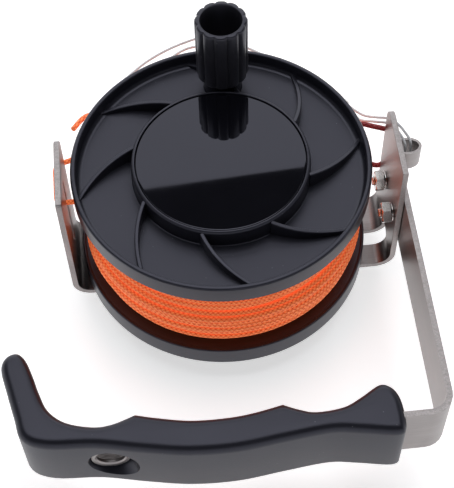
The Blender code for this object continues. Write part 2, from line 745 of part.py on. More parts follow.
def floor_height(radius):
    """Height of the front flange's dished floor at a radius."""
    rim_inner = FLANGE_RADIUS - RIM_WALL
    share = (radius - BOSS_RADIUS) / (rim_inner - BOSS_RADIUS)
    drop = FLOOR_DROP_AT_BOSS + (FLOOR_DROP_AT_RIM - FLOOR_DROP_AT_BOSS) * share
    return SPOOL_TOP - drop


def make_front_flange():
    rim_inner = FLANGE_RADIUS - RIM_WALL
    boss_top = SPOOL_TOP + BOSS_RISE
    lip_inner = BOSS_RADIUS - BOSS_LIP
    cup = lip_inner - BOSS_LEDGE
    cup_floor = SPOOL_TOP - CUP_DEPTH
    seat = SPOOL_TOP - LABEL_SEAT_DROP
    profile = [
        (CENTRE_HOLE_RADIUS, FRONT_UNDERSIDE), (BOSS_RADIUS, FRONT_UNDERSIDE),
        (FLANGE_RADIUS - RIM_TAPER, SPOOL_TOP - FRONT_RIM_HEIGHT),
        (FLANGE_RADIUS, SPOOL_TOP - FRONT_RIM_HEIGHT + RIM_TAPER),
        (FLANGE_RADIUS, SPOOL_TOP - RIM_TAPER), (FLANGE_RADIUS - RIM_TAPER, SPOOL_TOP),
        (rim_inner + RIM_TAPER, SPOOL_TOP), (rim_inner, floor_height(rim_inner)),
        (BOSS_RADIUS, floor_height(BOSS_RADIUS)), (BOSS_RADIUS, boss_top - RIM_TAPER),
        (BOSS_RADIUS - RIM_TAPER, boss_top), (lip_inner, boss_top), (lip_inner, seat),
        (cup, seat), (cup, cup_floor), (CENTRE_HOLE_RADIUS, cup_floor),
    ]
    flange = place(turned("front_flange", profile), black_plastic())
    for i in range(RIB_COUNT):
        join(flange, spiral_rib(i))
    spot = polar(KNOB_AXIS_RADIUS, KNOB_DEGREES)
    boss_foot = floor_height(KNOB_AXIS_RADIUS) - JOIN_DEPTH * 2
    boss = solid_rod(
        "knob_boss", KNOB_POST_BOSS_RADIUS, boss_foot, boss_top - KNOB_POST_BOSS_DROP, 24
    )
    join(flange, at(boss, spot.x, spot.y))
    pilot = solid_rod(
        "cut_knob_pilot", KNOB_SCREW_RADIUS + SHAFT_GAP, FRONT_UNDERSIDE - CUT_OVERRUN,
        SPOOL_TOP + CUT_OVERRUN, WASHER_STEPS,
    )
    cut(flange, at(pilot, spot.x, spot.y))
    for i in range(FLANGE_SCREW_COUNT):
        cut(flange, screw_hole("cut_flange_hole_" + str(i + 1), i, cup_floor))
    label_foot = seat + GAP
    label_radius = lip_inner - GAP
    label = [
        (0, label_foot), (label_radius, label_foot),
        (label_radius, label_foot + LABEL_THICKNESS - LABEL_CHAMFER),
        (label_radius - LABEL_CHAMFER, label_foot + LABEL_THICKNESS),
        (0, label_foot + LABEL_THICKNESS),
    ]
    place(turned("label_disc", label), gloss_label())
    for i in range(FLANGE_SCREW_COUNT):
        make_flange_screw(i, cup_floor)


def spiral_rib(index):
    """A thin wall on the dished floor that curves from the label boss out to the rim."""
    rim_inner = FLANGE_RADIUS - RIM_WALL
    start_radius = BOSS_RADIUS - JOIN_DEPTH
    end_radius = rim_inner + JOIN_DEPTH
    bm = bmesh.new()
    rows = []
    for i in range(RIB_STEPS + 1):
        share = i / RIB_STEPS
        radius = start_radius + (end_radius - start_radius) * share
        degrees = RIB_START_DEGREES + 360 * index / RIB_COUNT + RIB_SWEEP_DEGREES * share
        along = polar(radius, degrees)
        sweep = math.radians(RIB_SWEEP_DEGREES) * radius / (end_radius - start_radius)
        heading = along.normalized() + Vector((-along.y, along.x, 0)).normalized() * sweep
        aside = Vector((-heading.y, heading.x, 0)).normalized() * RIB_WIDTH / 2
        foot = floor_height(radius) - JOIN_DEPTH
        boss_crest = SPOOL_TOP + RIB_BOSS_RISE
        rim_crest = floor_height(rim_inner) + RIB_RIM_HEIGHT
        crest = boss_crest + (rim_crest - boss_crest) * share
        row = []
        for side, height in ((1, foot), (1, crest), (-1, crest), (-1, foot)):
            spot = along + aside * side
            row.append(bm.verts.new((spot.x, spot.y, height)))
        rows.append(row)
    for low, high in zip(rows, rows[1:]):
        for j in range(4):
            k = (j + 1) % 4
            bm.faces.new((low[j], low[k], high[k], high[j]))
    bm.faces.new(rows[0])
    bm.faces.new(rows[-1])
    return mesh_object("spiral_rib_" + str(index + 1), bm)


def make_flange_screw(index, seat):
    spot = flange_screw_spot(index)
    foot = FRONT_UNDERSIDE - FLANGE_SCREW_REACH
    head = seat + GAP
    profile = [
        (0, foot), (SMALL_SCREW_RADIUS, foot), (SMALL_SCREW_RADIUS, head),
        (SMALL_HEAD_RADIUS, head), (SMALL_HEAD_RADIUS, head + SMALL_HEAD_HEIGHT / 2),
        (SMALL_HEAD_RADIUS * 2 / 3, head + SMALL_HEAD_HEIGHT), (0, head + SMALL_HEAD_HEIGHT),
    ]
    screw = turned("flange_screw_" + str(index + 1), profile, SCREW_STEPS)
    at(place(screw, bright_steel()), spot.x, spot.y)


def make_line():
    """A plain core of line on the barrel, and the outer layer as one wound tube."""
    tube_radius_at_chord = (WOUND_RADIUS - LINE_RADIUS) * math.cos(math.pi / LOOP_STEPS)
    core_radius = tube_radius_at_chord - LINE_RADIUS - GAP
    core_foot = BACK_INNER_FACE + GAP
    core_top = FRONT_UNDERSIDE - GAP
    core = ring_body(
        "line_core", BARREL_RADIUS + GAP, core_radius, core_foot, core_top, CORE_STEPS
    )
    place(core, orange_line())
    points = winding_points()
    print("line_winding: least gap of the tube to itself", round(least_gap(points) * 1000, 3), "mm")
    tube("line_winding", points, LINE_RADIUS, orange_line(), 1)


def winding_points():
    """One layer of turns from the back flange to the front one, with straight ends."""
    radius = WOUND_RADIUS - LINE_RADIUS
    low = BACK_INNER_FACE + GAP * 2 + LINE_RADIUS
    under_flange = FRONT_UNDERSIDE + (WOUND_RADIUS - BOSS_RADIUS) / (
        FLANGE_RADIUS - BOSS_RADIUS
    ) * (SPOOL_TOP - FRONT_RIM_HEIGHT - FRONT_UNDERSIDE)
    high = under_flange - GAP * 3 - LINE_RADIUS
    steps = int((high - low) / LINE_PITCH * LOOP_STEPS)
    points = []
    for i in range(steps + 1):
        turn = i / LOOP_STEPS
        points.append(polar(radius, 360 * turn, low + LINE_PITCH * turn))
    first = (points[0] - points[1]).normalized() * LINE_RADIUS * 2
    last = (points[-1] - points[-2]).normalized() * LINE_RADIUS * 2
    return [points[0] + first] + points + [points[-1] + last]


def least_gap(points):
    """Least distance between the tube's surface and its own next turns, on its points."""
    least = None
    skip = LOOP_STEPS // 2
    for i, here in enumerate(points):
        for other in points[i + skip:i + LOOP_STEPS * 2]:
            distance = (here - other).length - LINE_RADIUS * 2
            if least is None or distance < least:
                least = distance
    return least


def lobed_ring(bm, radius, height, flute):
    """A ring of points whose radius swings in between the knob's lobes."""
    count = KNOB_LOBES * KNOB_LOBE_STEPS
    ring = []
    for i in range(count):
        angle = math.tau * i / count
        swing = (1 - abs(math.cos(angle * KNOB_LOBES / 2))) ** 2
        r = radius - flute * swing
        ring.append(bm.verts.new((r * math.cos(angle), r * math.sin(angle), height)))
    return ring


def make_knob():
    """Hollow fluted knob, the post it turns on, and the screw and washer at its floor."""
    foot = SPOOL_TOP + KNOB_FOOT_RISE
    top = SPOOL_TOP + KNOB_TOP_RISE
    floor = SPOOL_TOP + KNOB_FLOOR_RISE
    neck_foot = SPOOL_TOP + BOSS_RISE - KNOB_POST_BOSS_DROP + GAP
    bm = bmesh.new()
    rings = []
    for radius, height, flute in (
        (KNOB_SCREW_RADIUS + SHAFT_GAP, neck_foot, 0), (KNOB_NECK_RADIUS, neck_foot, 0),
        (KNOB_NECK_RADIUS, foot - KNOB_CHAMFER * 2, 0),
        (KNOB_RADIUS - KNOB_CHAMFER * 2, foot - KNOB_CHAMFER, 0),
        (KNOB_RADIUS, foot + KNOB_CHAMFER, KNOB_FLUTE),
        (KNOB_RADIUS, top - KNOB_CHAMFER / 2, KNOB_FLUTE),
        (KNOB_RADIUS - KNOB_CHAMFER / 3, top, KNOB_FLUTE),
        (KNOB_BORE_RADIUS, top, 0), (KNOB_BORE_RADIUS, floor, 0),
        (KNOB_SCREW_RADIUS + SHAFT_GAP, floor, 0),
    ):
        rings.append(lobed_ring(bm, radius, height, flute))
    add_ring_faces(bm, rings, closed_profile=True)
    spot = polar(KNOB_AXIS_RADIUS, KNOB_DEGREES)
    knob = place(mesh_object("crank_knob", bm), black_plastic())
    at(knob, spot.x, spot.y)
    washer = ring_body(
        "knob_washer", KNOB_SCREW_RADIUS + SHAFT_GAP, KNOB_WASHER_RADIUS, floor + GAP,
        floor + GAP + KNOB_WASHER_THICKNESS,
    )
    at(place(washer, bright_steel()), spot.x, spot.y)
    head = floor + GAP + KNOB_WASHER_THICKNESS + GAP
    screw_foot = FRONT_UNDERSIDE + GAP
    profile = [
        (0, screw_foot), (KNOB_SCREW_RADIUS, screw_foot), (KNOB_SCREW_RADIUS, head),
        (KNOB_SCREW_HEAD_RADIUS, head), (KNOB_SCREW_HEAD_RADIUS, head + KNOB_SCREW_HEAD_HEIGHT / 2),
        (KNOB_SCREW_HEAD_RADIUS * 2 / 3, head + KNOB_SCREW_HEAD_HEIGHT),
        (0, head + KNOB_SCREW_HEAD_HEIGHT),
    ]
    screw = turned("knob_screw", profile, WASHER_STEPS)
    at(place(screw, bright_steel()), spot.x, spot.y)


def arc(centre, radius, start, end, steps):
    points = []
    for i in range(steps + 1):
        angle = math.radians(start + (end - start) * i / steps)
        points.append(Vector((centre[0] + radius * math.cos(angle),
                              centre[1] + radius * math.sin(angle), 0)))
    return points


def strap_centre_line():
    """The strap's path in plan: out of the grip, round the front corner, back and into its
    eye, with the number of points before the thin eye begins."""
    middle = STRAP_THICKNESS / 2
    leg_y = STRAP_FRONT_Y + middle
    side_x = STRAP_INNER_X + middle
    corner = (side_x - STRAP_CORNER_RADIUS, leg_y + STRAP_CORNER_RADIUS)
    eye = Vector((side_x + EYE_HALF_WIDTH, EYE_CENTRE_Y, 0))
    path = [Vector((STRAP_GRIP_END_X, leg_y, 0))]
    path += arc(corner, STRAP_CORNER_RADIUS, -90, 0, BEND_STEPS)
    path.append(Vector((side_x, EYE_CENTRE_Y - EYE_TAPER, 0)))
    plain = len(path)
    for step in arc((0, 0), 1, 180, EYE_END_DEGREES, BEND_STEPS * 3):
        path.append(eye + Vector((step.x * EYE_HALF_WIDTH, step.y * EYE_HALF_DEPTH, 0)))
    return path, plain


def make_strap():
    path, plain = strap_centre_line()
    left, right = [], []
    for i, here in enumerate(path):
        before = path[max(i - 1, 0)]
        after = path[min(i + 1, len(path) - 1)]
        heading = (after - before).normalized()
        if 0 < i < len(path) - 1:
            one = (here - before).normalized()
            two = (after - here).normalized()
            heading = (one + two).normalized()
            stretch = 1 / max(heading.dot(one), 0.5)
        else:
            stretch = 1.0
        thickness = STRAP_THICKNESS if i < plain else EYE_THICKNESS
        aside = Vector((-heading.y, heading.x, 0)) * thickness / 2 * stretch
        left.append(here + aside)
        right.append(here - aside)
    bm = bmesh.new()
    levels = []
    for z in (STRAP_TOP - STRAP_WIDTH, STRAP_TOP):
        levels.append([[bm.verts.new((p.x, p.y, z)) for p in side] for side in (left, right)])
    (low_left, low_right), (top_left, top_right) = levels
    for i in range(len(path) - 1):
        bm.faces.new((low_left[i], low_left[i + 1], low_right[i + 1], low_right[i]))
        bm.faces.new((top_left[i + 1], top_left[i], top_right[i], top_right[i + 1]))
        bm.faces.new((low_left[i + 1], low_left[i], top_left[i], top_left[i + 1]))
        bm.faces.new((low_right[i], low_right[i + 1], top_right[i + 1], top_right[i]))
    for i in (0, -1):
        bm.faces.new((low_left[i], low_right[i], top_right[i], top_left[i]))
    strap = place(mesh_object("hand_strap", bm), steel())
    below = (STRAP_TOP - STRAP_WIDTH - CUT_OVERRUN, STRAP_TOP - EYE_HEIGHT)
    far = STRAP_OUTER_X + EYE_HALF_WIDTH * 3
    front = EYE_CENTRE_Y - EYE_HALF_DEPTH * 2
    cut(strap, box(
        "cut_below_eye", (STRAP_OUTER_X + GAP, front, below[0]), (far, EYE_CENTRE_Y, below[1])
    ))
    cut(strap, box(
        "cut_behind_strap", (STRAP_INNER_X - CUT_OVERRUN, EYE_CENTRE_Y, below[0]),
        (far, EYE_CENTRE_Y + EYE_HALF_DEPTH * 2, below[1]),
    ))
    for name, y in bolt_places():
        hole = solid_rod(
            "cut_strap_hole_" + name, BOLT_RADIUS + SHAFT_GAP, -CUT_OVERRUN,
            STRAP_THICKNESS + CUT_OVERRUN, WASHER_STEPS,
        )
        cut(strap, lay_along_x(hole, STRAP_INNER_X, y, STRAP_MIDDLE))
    for index, (x, _) in enumerate(grip_screw_places()):
        hole = solid_rod(
            "cut_strap_grip_hole_" + str(index + 1), SMALL_SCREW_RADIUS + SHAFT_GAP,
            -CUT_OVERRUN, STRAP_THICKNESS + CUT_OVERRUN,
        )
        cut(strap, lay_along_y(hole, x, STRAP_FRONT_Y, STRAP_MIDDLE))


def make_bolts():
    """Two domed bolts through strap and wing, each with a washer and a nut inside the frame."""
    for name, y in bolt_places():
        inner = RIGHT_WING_X - GAP
        washer_foot = inner - BOLT_WASHER_THICKNESS
        nut_top = washer_foot - GAP
        nut_foot = nut_top - BOLT_NUT_HEIGHT
        tail = nut_foot - BOLT_TAIL
        seat = STRAP_OUTER_X + GAP
        profile = [
            (0, 0), (BOLT_RADIUS * 3 / 4, 0), (BOLT_RADIUS, BOLT_RADIUS / 4),
            (BOLT_RADIUS, seat - tail), (BOLT_HEAD_RADIUS, seat - tail),
            (BOLT_HEAD_RADIUS, seat - tail + BOLT_HEAD_HEIGHT / 3),
            (BOLT_HEAD_RADIUS * 3 / 4, seat - tail + BOLT_HEAD_HEIGHT * 4 / 5),
            (BOLT_HEAD_RADIUS / 3, seat - tail + BOLT_HEAD_HEIGHT),
            (0, seat - tail + BOLT_HEAD_HEIGHT),
        ]
        bolt = turned("strap_bolt_" + name, profile, WASHER_STEPS)
        lay_along_x(place(bolt, bright_steel()), tail, y, STRAP_MIDDLE)
        bore = BOLT_RADIUS + SHAFT_GAP
        washer = ring_body(
            "strap_washer_" + name, bore, BOLT_WASHER_RADIUS, 0.0, BOLT_WASHER_THICKNESS
        )
        lay_along_x(place(washer, bright_steel()), washer_foot, y, STRAP_MIDDLE)
        nut = prism("strap_nut_" + name, hexagon(BOLT_NUT_FLATS), 0.0, BOLT_NUT_HEIGHT)
        place(nut, bright_steel())
        lay_along_x(nut, nut_foot, y, STRAP_MIDDLE)
        nut_bore = solid_rod(
            "cut_strap_nut_" + name, bore, -CUT_OVERRUN, BOLT_NUT_HEIGHT + CUT_OVERRUN,
            WASHER_STEPS,
        )
        cut(nut, lay_along_x(nut_bore, nut_foot, y, STRAP_MIDDLE))


def grip_point(share):
    return Vector((GRIP_LEFT_X + GRIP_LENGTH * share[0], GRIP_FRONT_Y + GRIP_REACH * share[1], 0))


def grip_outline():
    """The grip's plan outline, smooth between its two finger cusps."""
    corners = [grip_point(share) for share in GRIP_OUTLINE_SHARES]
    count = len(corners)
    points = []
    for i in range(count):
        a, b, c, d = (corners[(i + k) % count] for k in (-1, 0, 1, 2))
        if i in GRIP_CUSPS:
            a = b
        if (i + 1) % count in GRIP_CUSPS:
            d = c
        points.append(b)
        half = (b + c) / 2 + (b + c - a - d) / 16
        points.append(half)
    return [(p.x, p.y) for p in points]


def grip_screw_places():
    """Places along the grip of the two screws at the bottoms of the finger grooves."""
    return ((GRIP_LEFT_X + GRIP_LENGTH * share, share) for share in (0.53, 0.79))


def groove_y(x):
    """The rear side of the grip at one x, between neighbouring outline points."""
    corners = [grip_point(share) for share in GRIP_OUTLINE_SHARES[5:17]]
    for a, b in zip(corners, corners[1:]):
        if a.x <= x <= b.x:
            return a.y + (b.y - a.y) * (x - a.x) / (b.x - a.x)
    return corners[0].y


def make_grip():
    """Moulded grip on the strap's front leg, with a pocket for the strap and a lanyard eyelet."""
    low = STRAP_MIDDLE - GRIP_THICKNESS / 2
    grip = prism("hand_grip", grip_outline(), low, low + GRIP_THICKNESS)
    bm = bmesh.new()
    bm.from_mesh(grip.data)
    edges = [e for e in bm.edges if abs(e.verts[0].co.z - e.verts[1].co.z) < GAP]
    bmesh.ops.bevel(
        bm, geom=edges, offset=GRIP_ROUNDING, segments=GRIP_ROUND_STEPS, profile=0.5,
        affect="EDGES", clamp_overlap=True,
    )
    bm.to_mesh(grip.data)
    bm.free()
    place(grip, grip_plastic())
    pocket_low = (STRAP_GRIP_END_X - GAP, STRAP_FRONT_Y - GAP, STRAP_TOP - STRAP_WIDTH - GAP)
    pocket_high = (
        GRIP_LEFT_X + GRIP_LENGTH + CUT_OVERRUN, STRAP_FRONT_Y + STRAP_THICKNESS + GAP,
        STRAP_TOP + GAP,
    )
    cut(grip, box("cut_strap_pocket", pocket_low, pocket_high))
    cut(grip, eyelet_mouth())
    cut(grip, eyelet_bore("cut_eyelet_bore"))
    cut(grip, eyelet_flare())
    for index, (x, _) in enumerate(grip_screw_places()):
        make_grip_screw(grip, index, x)
    make_eyelet()


def eyelet_mouth():
    """The wide flared mouth in the front of the grip."""
    depth = EYELET_SEAT_Y - GRIP_FRONT_Y
    flare = [
        (0, 0), (EYELET_FLANGE_RADIUS + GAP, 0), (EYELET_FLANGE_RADIUS + GAP, depth / 4),
        (EYELET_MOUTH_RADIUS, depth * 2 / 3), (EYELET_MOUTH_RADIUS, depth + CUT_OVERRUN),
        (0, depth + CUT_OVERRUN),
    ]
    cutter = turned("cut_eyelet_mouth", flare, SCREW_STEPS * 2)
    cutter.matrix_world = Matrix.Translation((EYELET_X, EYELET_SEAT_Y, STRAP_MIDDLE)) @ (
        Matrix.Rotation(math.pi / 2, 4, "X")
    )
    return cutter


def eyelet_flare():
    """The flare behind the sleeve, on the finger side."""
    bore = EYELET_RADIUS + EYELET_WALL + GAP
    flare = [
        (0, 0), (bore, 0), (EYELET_MOUTH_RADIUS, EYELET_FLARE_DEPTH),
        (EYELET_MOUTH_RADIUS, EYELET_FLARE_DEPTH * 2), (0, EYELET_FLARE_DEPTH * 2),
    ]
    cutter = turned("cut_eyelet_flare", flare, SCREW_STEPS * 2)
    return lay_along_y(cutter, EYELET_X, EYELET_REAR_Y - GAP, STRAP_MIDDLE)


def eyelet_bore(name):
    length = GRIP_REACH
    bore = solid_rod(name, EYELET_RADIUS + EYELET_WALL + GAP, -length, 0.0, SCREW_STEPS * 2)
    bore.matrix_world = Matrix.Translation(
        (EYELET_X, EYELET_SEAT_Y - GAP * 2, STRAP_MIDDLE)
    ) @ Matrix.Rotation(math.pi / 2, 4, "X")
    return bore


def make_eyelet():
    """Flanged steel sleeve through the grip, for a lanyard."""
    outer = EYELET_RADIUS + EYELET_WALL
    length = EYELET_REAR_Y - EYELET_SEAT_Y
    flange = EYELET_FLANGE_THICKNESS
    profile = [
        (EYELET_RADIUS, -length), (outer, -length), (outer, GAP), (EYELET_FLANGE_RADIUS, GAP),
        (EYELET_FLANGE_RADIUS, flange), (EYELET_RADIUS, flange + GAP),
    ]
    eyelet = place(turned("lanyard_eyelet", profile, SCREW_STEPS * 2), bright_steel())
    eyelet.matrix_world = Matrix.Translation((EYELET_X, EYELET_SEAT_Y, STRAP_MIDDLE)) @ (
        Matrix.Rotation(math.pi / 2, 4, "X")
    )


def make_grip_screw(grip, index, x):
    """A countersunk screw from the finger side into the strap."""
    surface = groove_y(x)
    foot = STRAP_FRONT_Y - GAP
    reach = surface - foot - GAP
    head = reach - GRIP_SCREW_HEAD_DEPTH
    profile = [
        (0, 0), (SMALL_SCREW_RADIUS, 0), (SMALL_SCREW_RADIUS, head),
        (SMALL_HEAD_RADIUS, reach - GAP), (SMALL_HEAD_RADIUS, reach), (0, reach),
    ]
    screw = turned("grip_screw_" + str(index + 1), profile, SCREW_STEPS)
    lay_along_y(place(screw, bright_steel()), x, foot, STRAP_MIDDLE)
    room = [
        (0, -GAP), (SMALL_SCREW_RADIUS + SHAFT_GAP, -GAP), (SMALL_SCREW_RADIUS + SHAFT_GAP, head),
        (SMALL_HEAD_RADIUS + GAP, reach - GAP), (SMALL_HEAD_RADIUS + GAP, reach + CUT_OVERRUN * 2),
        (0, reach + CUT_OVERRUN * 2),
    ]
    cutter = turned("cut_grip_screw_" + str(index + 1), room, SCREW_STEPS)
    cut(grip, lay_along_y(cutter, x, foot, STRAP_MIDDLE))


def pawl_outline():
    """A hub with two hooked arms whose tips point at the ratchet ring, in the pivot's own
    frame: x points at the axle and y runs round it."""
    upper = [(PAWL_REACH * u, PAWL_SPREAD * v) for u, v in PAWL_OUTLINE_SHARES]
    lower = [(x, -y) for x, y in upper[-2::-1]]
    return upper + lower


def make_lever():
    """Three-way lever under the base, its stud through the base, and the pawl above it."""
    pivot = polar(PIVOT_AXIS_RADIUS, PIVOT_DEGREES)
    bore = STUD_RADIUS + SHAFT_GAP
    pawl_foot = BASE_TOP + PAWL_LIFT
    pawl_top = pawl_foot + PAWL_THICKNESS
    holder = bpy.data.objects.new("lever_pivot", None)
    bpy.context.scene.collection.objects.link(holder)
    holder.location = (pivot.x, pivot.y, 0)

    pawl = place(prism("pawl", pawl_outline(), pawl_foot, pawl_top), steel())
    pawl.parent = holder
    pawl.rotation_euler = (0, 0, math.radians(PIVOT_DEGREES - 180))
    hole = solid_rod(
        "cut_pawl_bore", bore, pawl_foot - CUT_OVERRUN, pawl_top + CUT_OVERRUN, WASHER_STEPS
    )
    hole.parent = holder
    cut(pawl, hole)

    spacer = ring_body(
        "pawl_spacer", bore, bore + SPACER_WALL, BASE_TOP + GAP, pawl_foot - GAP
    )
    place(spacer, bright_steel()).parent = holder

    lever_top = BASE_UNDERSIDE - GAP
    lever_foot = lever_top - LEVER_THICKNESS
    nut_top = lever_foot - GAP
    nut_foot = nut_top - LEVER_NUT_HEIGHT
    profile = [
        (0, STUD_END), (STUD_RADIUS, STUD_END), (STUD_RADIUS, pawl_top + GAP),
        (STUD_HEAD_RADIUS, pawl_top + GAP), (STUD_HEAD_RADIUS, pawl_top + GAP + STUD_HEAD_HEIGHT),
        (0, pawl_top + GAP + STUD_HEAD_HEIGHT),
    ]
    place(turned("pivot_stud", profile, WASHER_STEPS), bright_steel()).parent = holder

    nut = place(prism("lever_nut", hexagon(LEVER_NUT_FLATS), nut_foot, nut_top), bright_steel())
    nut.parent = holder
    nut_bore = solid_rod(
        "cut_lever_nut", bore, nut_foot - CUT_OVERRUN, nut_top + CUT_OVERRUN, WASHER_STEPS
    )
    nut_bore.parent = holder
    cut(nut, nut_bore)

    lever = place(prism("mode_lever", lever_outline(), lever_foot, lever_top), steel())
    lever.parent = holder
    lever_bore = solid_rod(
        "cut_lever_bore", bore, lever_foot - CUT_OVERRUN, lever_top + CUT_OVERRUN, WASHER_STEPS
    )
    lever_bore.parent = holder
    cut(lever, lever_bore)
    end = polar(LEVER_LENGTH, LEVER_LEAN_DEGREES)
    rivet_hole = solid_rod(
        "cut_button_hole", BUTTON_RIVET_RADIUS + SHAFT_GAP, lever_foot - CUT_OVERRUN,
        lever_top + CUT_OVERRUN, WASHER_STEPS,
    )
    rivet_hole.parent = holder
    cut(lever, at(rivet_hole, end.x, end.y))
    seat = lever_top + GAP
    button = [
        (0, lever_foot), (BUTTON_RIVET_RADIUS, lever_foot), (BUTTON_RIVET_RADIUS, seat),
        (BUTTON_RADIUS, seat), (BUTTON_RADIUS, seat + BUTTON_HEIGHT * 3 / 4),
        (BUTTON_RADIUS * 3 / 4, seat + BUTTON_HEIGHT), (0, seat + BUTTON_HEIGHT),
    ]
    knob = place(turned("lever_button", button, WASHER_STEPS), black_plastic())
    knob.parent = holder
    at(knob, end.x, end.y)


def lever_outline():
    """A flat arm with round ends, wide at the pivot and running out past the spool."""
    half = LEVER_WIDTH / 2
    end = polar(LEVER_LENGTH, LEVER_LEAN_DEGREES)
    points = []
    for centre, start in ((end, LEVER_LEAN_DEGREES - 90), (Vector(), LEVER_LEAN_DEGREES + 90)):
        for i in range(BEND_STEPS + 1):
            spot = centre + polar(half, start + 180 * i / BEND_STEPS)
            points.append((spot.x, spot.y))
    return points


def along(start, shares):
    """Route points from a start, in steps of ROUTE_STEP."""
    return [start + Vector(share) * ROUTE_STEP for share in shares]


def make_loose_line():
    """The line's end through the guide slot, and the bight of line held by the strap's eye."""
    tail = smooth_route(along(TAIL_START, TAIL_ROUTE_SHARES), 2)
    tube("line_tail", tail, LINE_RADIUS, orange_line(), 2)
    bight = smooth_route(along(EYE_START, BIGHT_ROUTE_SHARES), 2)
    tube("line_bight", bight, LINE_RADIUS, orange_line(), 2)


def make_wire_loop():
    """A thin wire that goes down through the strap's eye and back up into a crimped sleeve,
    and runs as a double strand round behind the spool."""
    heading = FERRULE_HEADING
    centre = along(EYE_START, (WIRE_SLEEVE_SHARES,))[0]
    aside = Vector((-heading.y, heading.x, 0)) * WIRE_SPACING / 2
    half = heading * FERRULE_LENGTH / 2
    route = [centre + aside + heading * GAP, centre + aside + half]
    route += along(EYE_START, WIRE_EYE_SHARES)
    route += [centre - aside + half, centre - aside - half]
    route += along(EYE_START, WIRE_BACK_SHARES)
    route += [centre + aside - half, centre + aside - heading * GAP]
    tube("wire_loop", smooth_route(route, 2), WIRE_RADIUS, bright_steel(), 2)
    bore = WIRE_RADIUS + FERRULE_ROOM
    outline = [sleeve_outline(bore + FERRULE_WALL), sleeve_outline(bore)]
    sleeve = prism("wire_sleeve", outline[0], -FERRULE_LENGTH / 2, FERRULE_LENGTH / 2)
    room = prism(
        "cut_wire_sleeve", outline[1], -FERRULE_LENGTH / 2 - CUT_OVERRUN,
        FERRULE_LENGTH / 2 + CUT_OVERRUN,
    )
    side = Vector((-heading.y, heading.x, 0))
    frame = Matrix((side, heading.cross(side), heading)).transposed().to_4x4()
    stand = Matrix.Translation(centre) @ frame
    place(sleeve, bright_steel()).matrix_world = stand
    room.matrix_world = stand
    cut(sleeve, room)


def sleeve_outline(half):
    """An oval round two wires side by side."""
    reach = WIRE_SPACING / 2
    points = []
    for side, start in ((reach, -90), (-reach, 90)):
        for i in range(BEND_STEPS + 1):
            spot = polar(half, start + 180 * i / BEND_STEPS)
            points.append((spot.x + side, spot.y))
    return points


def clear_scene():
    for obj in list(bpy.data.objects):
        bpy.data.objects.remove(obj)


def main():
    clear_scene()
    make_bracket()
    make_axle_stack()
    make_spool_body()
    make_front_flange()
    make_line()
    make_knob()
    make_strap()
    make_bolts()
    make_grip()
    make_lever()
    make_loose_line()
    make_wire_loop()


if __name__ == "__main__":
    main()
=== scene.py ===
"""Dresses the dive reel's solids: camera, loose line and wire, wound line, spool, crank knob,
frame, hand strap, grip, fasteners, lever and stage. Lengths are metres, +Z up along the axle."""

from math import atan2, cos, hypot, pi, radians, sin, sqrt, tau

import bpy
from bpy.props import FloatProperty, FloatVectorProperty, IntProperty, PointerProperty
from mathutils import Matrix, Vector


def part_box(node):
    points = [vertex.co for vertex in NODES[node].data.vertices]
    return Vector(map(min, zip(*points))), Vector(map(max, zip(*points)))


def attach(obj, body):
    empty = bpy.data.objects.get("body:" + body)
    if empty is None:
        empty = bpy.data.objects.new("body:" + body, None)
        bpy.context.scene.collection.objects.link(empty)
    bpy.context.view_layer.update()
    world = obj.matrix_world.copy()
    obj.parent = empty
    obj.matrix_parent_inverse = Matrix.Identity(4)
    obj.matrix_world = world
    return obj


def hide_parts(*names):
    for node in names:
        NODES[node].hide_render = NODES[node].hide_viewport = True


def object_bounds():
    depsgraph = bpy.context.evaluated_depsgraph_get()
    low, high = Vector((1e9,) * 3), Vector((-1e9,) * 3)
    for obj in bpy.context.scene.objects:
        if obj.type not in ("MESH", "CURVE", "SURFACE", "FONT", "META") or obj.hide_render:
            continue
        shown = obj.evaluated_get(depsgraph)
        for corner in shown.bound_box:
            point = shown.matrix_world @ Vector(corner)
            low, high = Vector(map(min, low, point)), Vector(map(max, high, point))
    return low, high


bl_info = {
    "name": "Dive Reel",
    "version": (1, 0, 0),
    "blender": (4, 5, 0),
    "location": "3D View > Sidebar > Dive Reel",
    "description": "Builds the finished pieces of a dive reel on its solids",
    "category": "Object",
}

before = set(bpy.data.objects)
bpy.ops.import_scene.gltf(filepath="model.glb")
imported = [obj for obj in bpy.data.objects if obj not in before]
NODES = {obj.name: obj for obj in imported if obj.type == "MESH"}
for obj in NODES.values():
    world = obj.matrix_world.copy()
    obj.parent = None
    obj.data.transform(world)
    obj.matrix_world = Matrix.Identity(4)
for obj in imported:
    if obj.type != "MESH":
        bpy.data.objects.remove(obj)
CAD_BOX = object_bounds()

# Heights and radii of the solids that the finished pieces follow
SPOOL_RADIUS = 0.0635
SPOOL_TOP = 0.0725
SPOOL_FOOT = 0.0123
BACK_INNER_FACE = 0.0219
BACK_UNDERSIDE = 0.0194
FRONT_UNDERSIDE = 0.0599
FRONT_RIM_HEIGHT = 0.0094
RIM_INNER = 0.0613
BOSS_RADIUS = 0.0378
BOSS_TOP = 0.0740
CUP_FLOOR = 0.0621
BARREL_RADIUS = 0.022
BARREL_INNER_RADIUS = 0.015
HUB_RADIUS = 0.010
HUB_BORE = 0.0063
HUB_FOOT = 0.0132
HUB_TOP = 0.0585
WOUND_RADIUS = 0.0582
WINDING_TOP = 0.0604
BRAID_STEP = 0.0021
TWIST_STEP = 0.0011
LEFT_WING_X = -0.067
RIGHT_WING_X = 0.0736
SHEET = 0.0025
STRAP_OUTER_X = 0.0788
STRAP_MIDDLE = 0.0415
STRAP_FRONT_Y = -0.1175
GUIDE_SLOT_Y = 0.0005
EYE_CENTRE_Y = 0.0112
GAP = 0.0003
ROUTE_STEP = 0.010
EYELET_PLACE = (-0.0547, -0.1140, STRAP_MIDDLE)
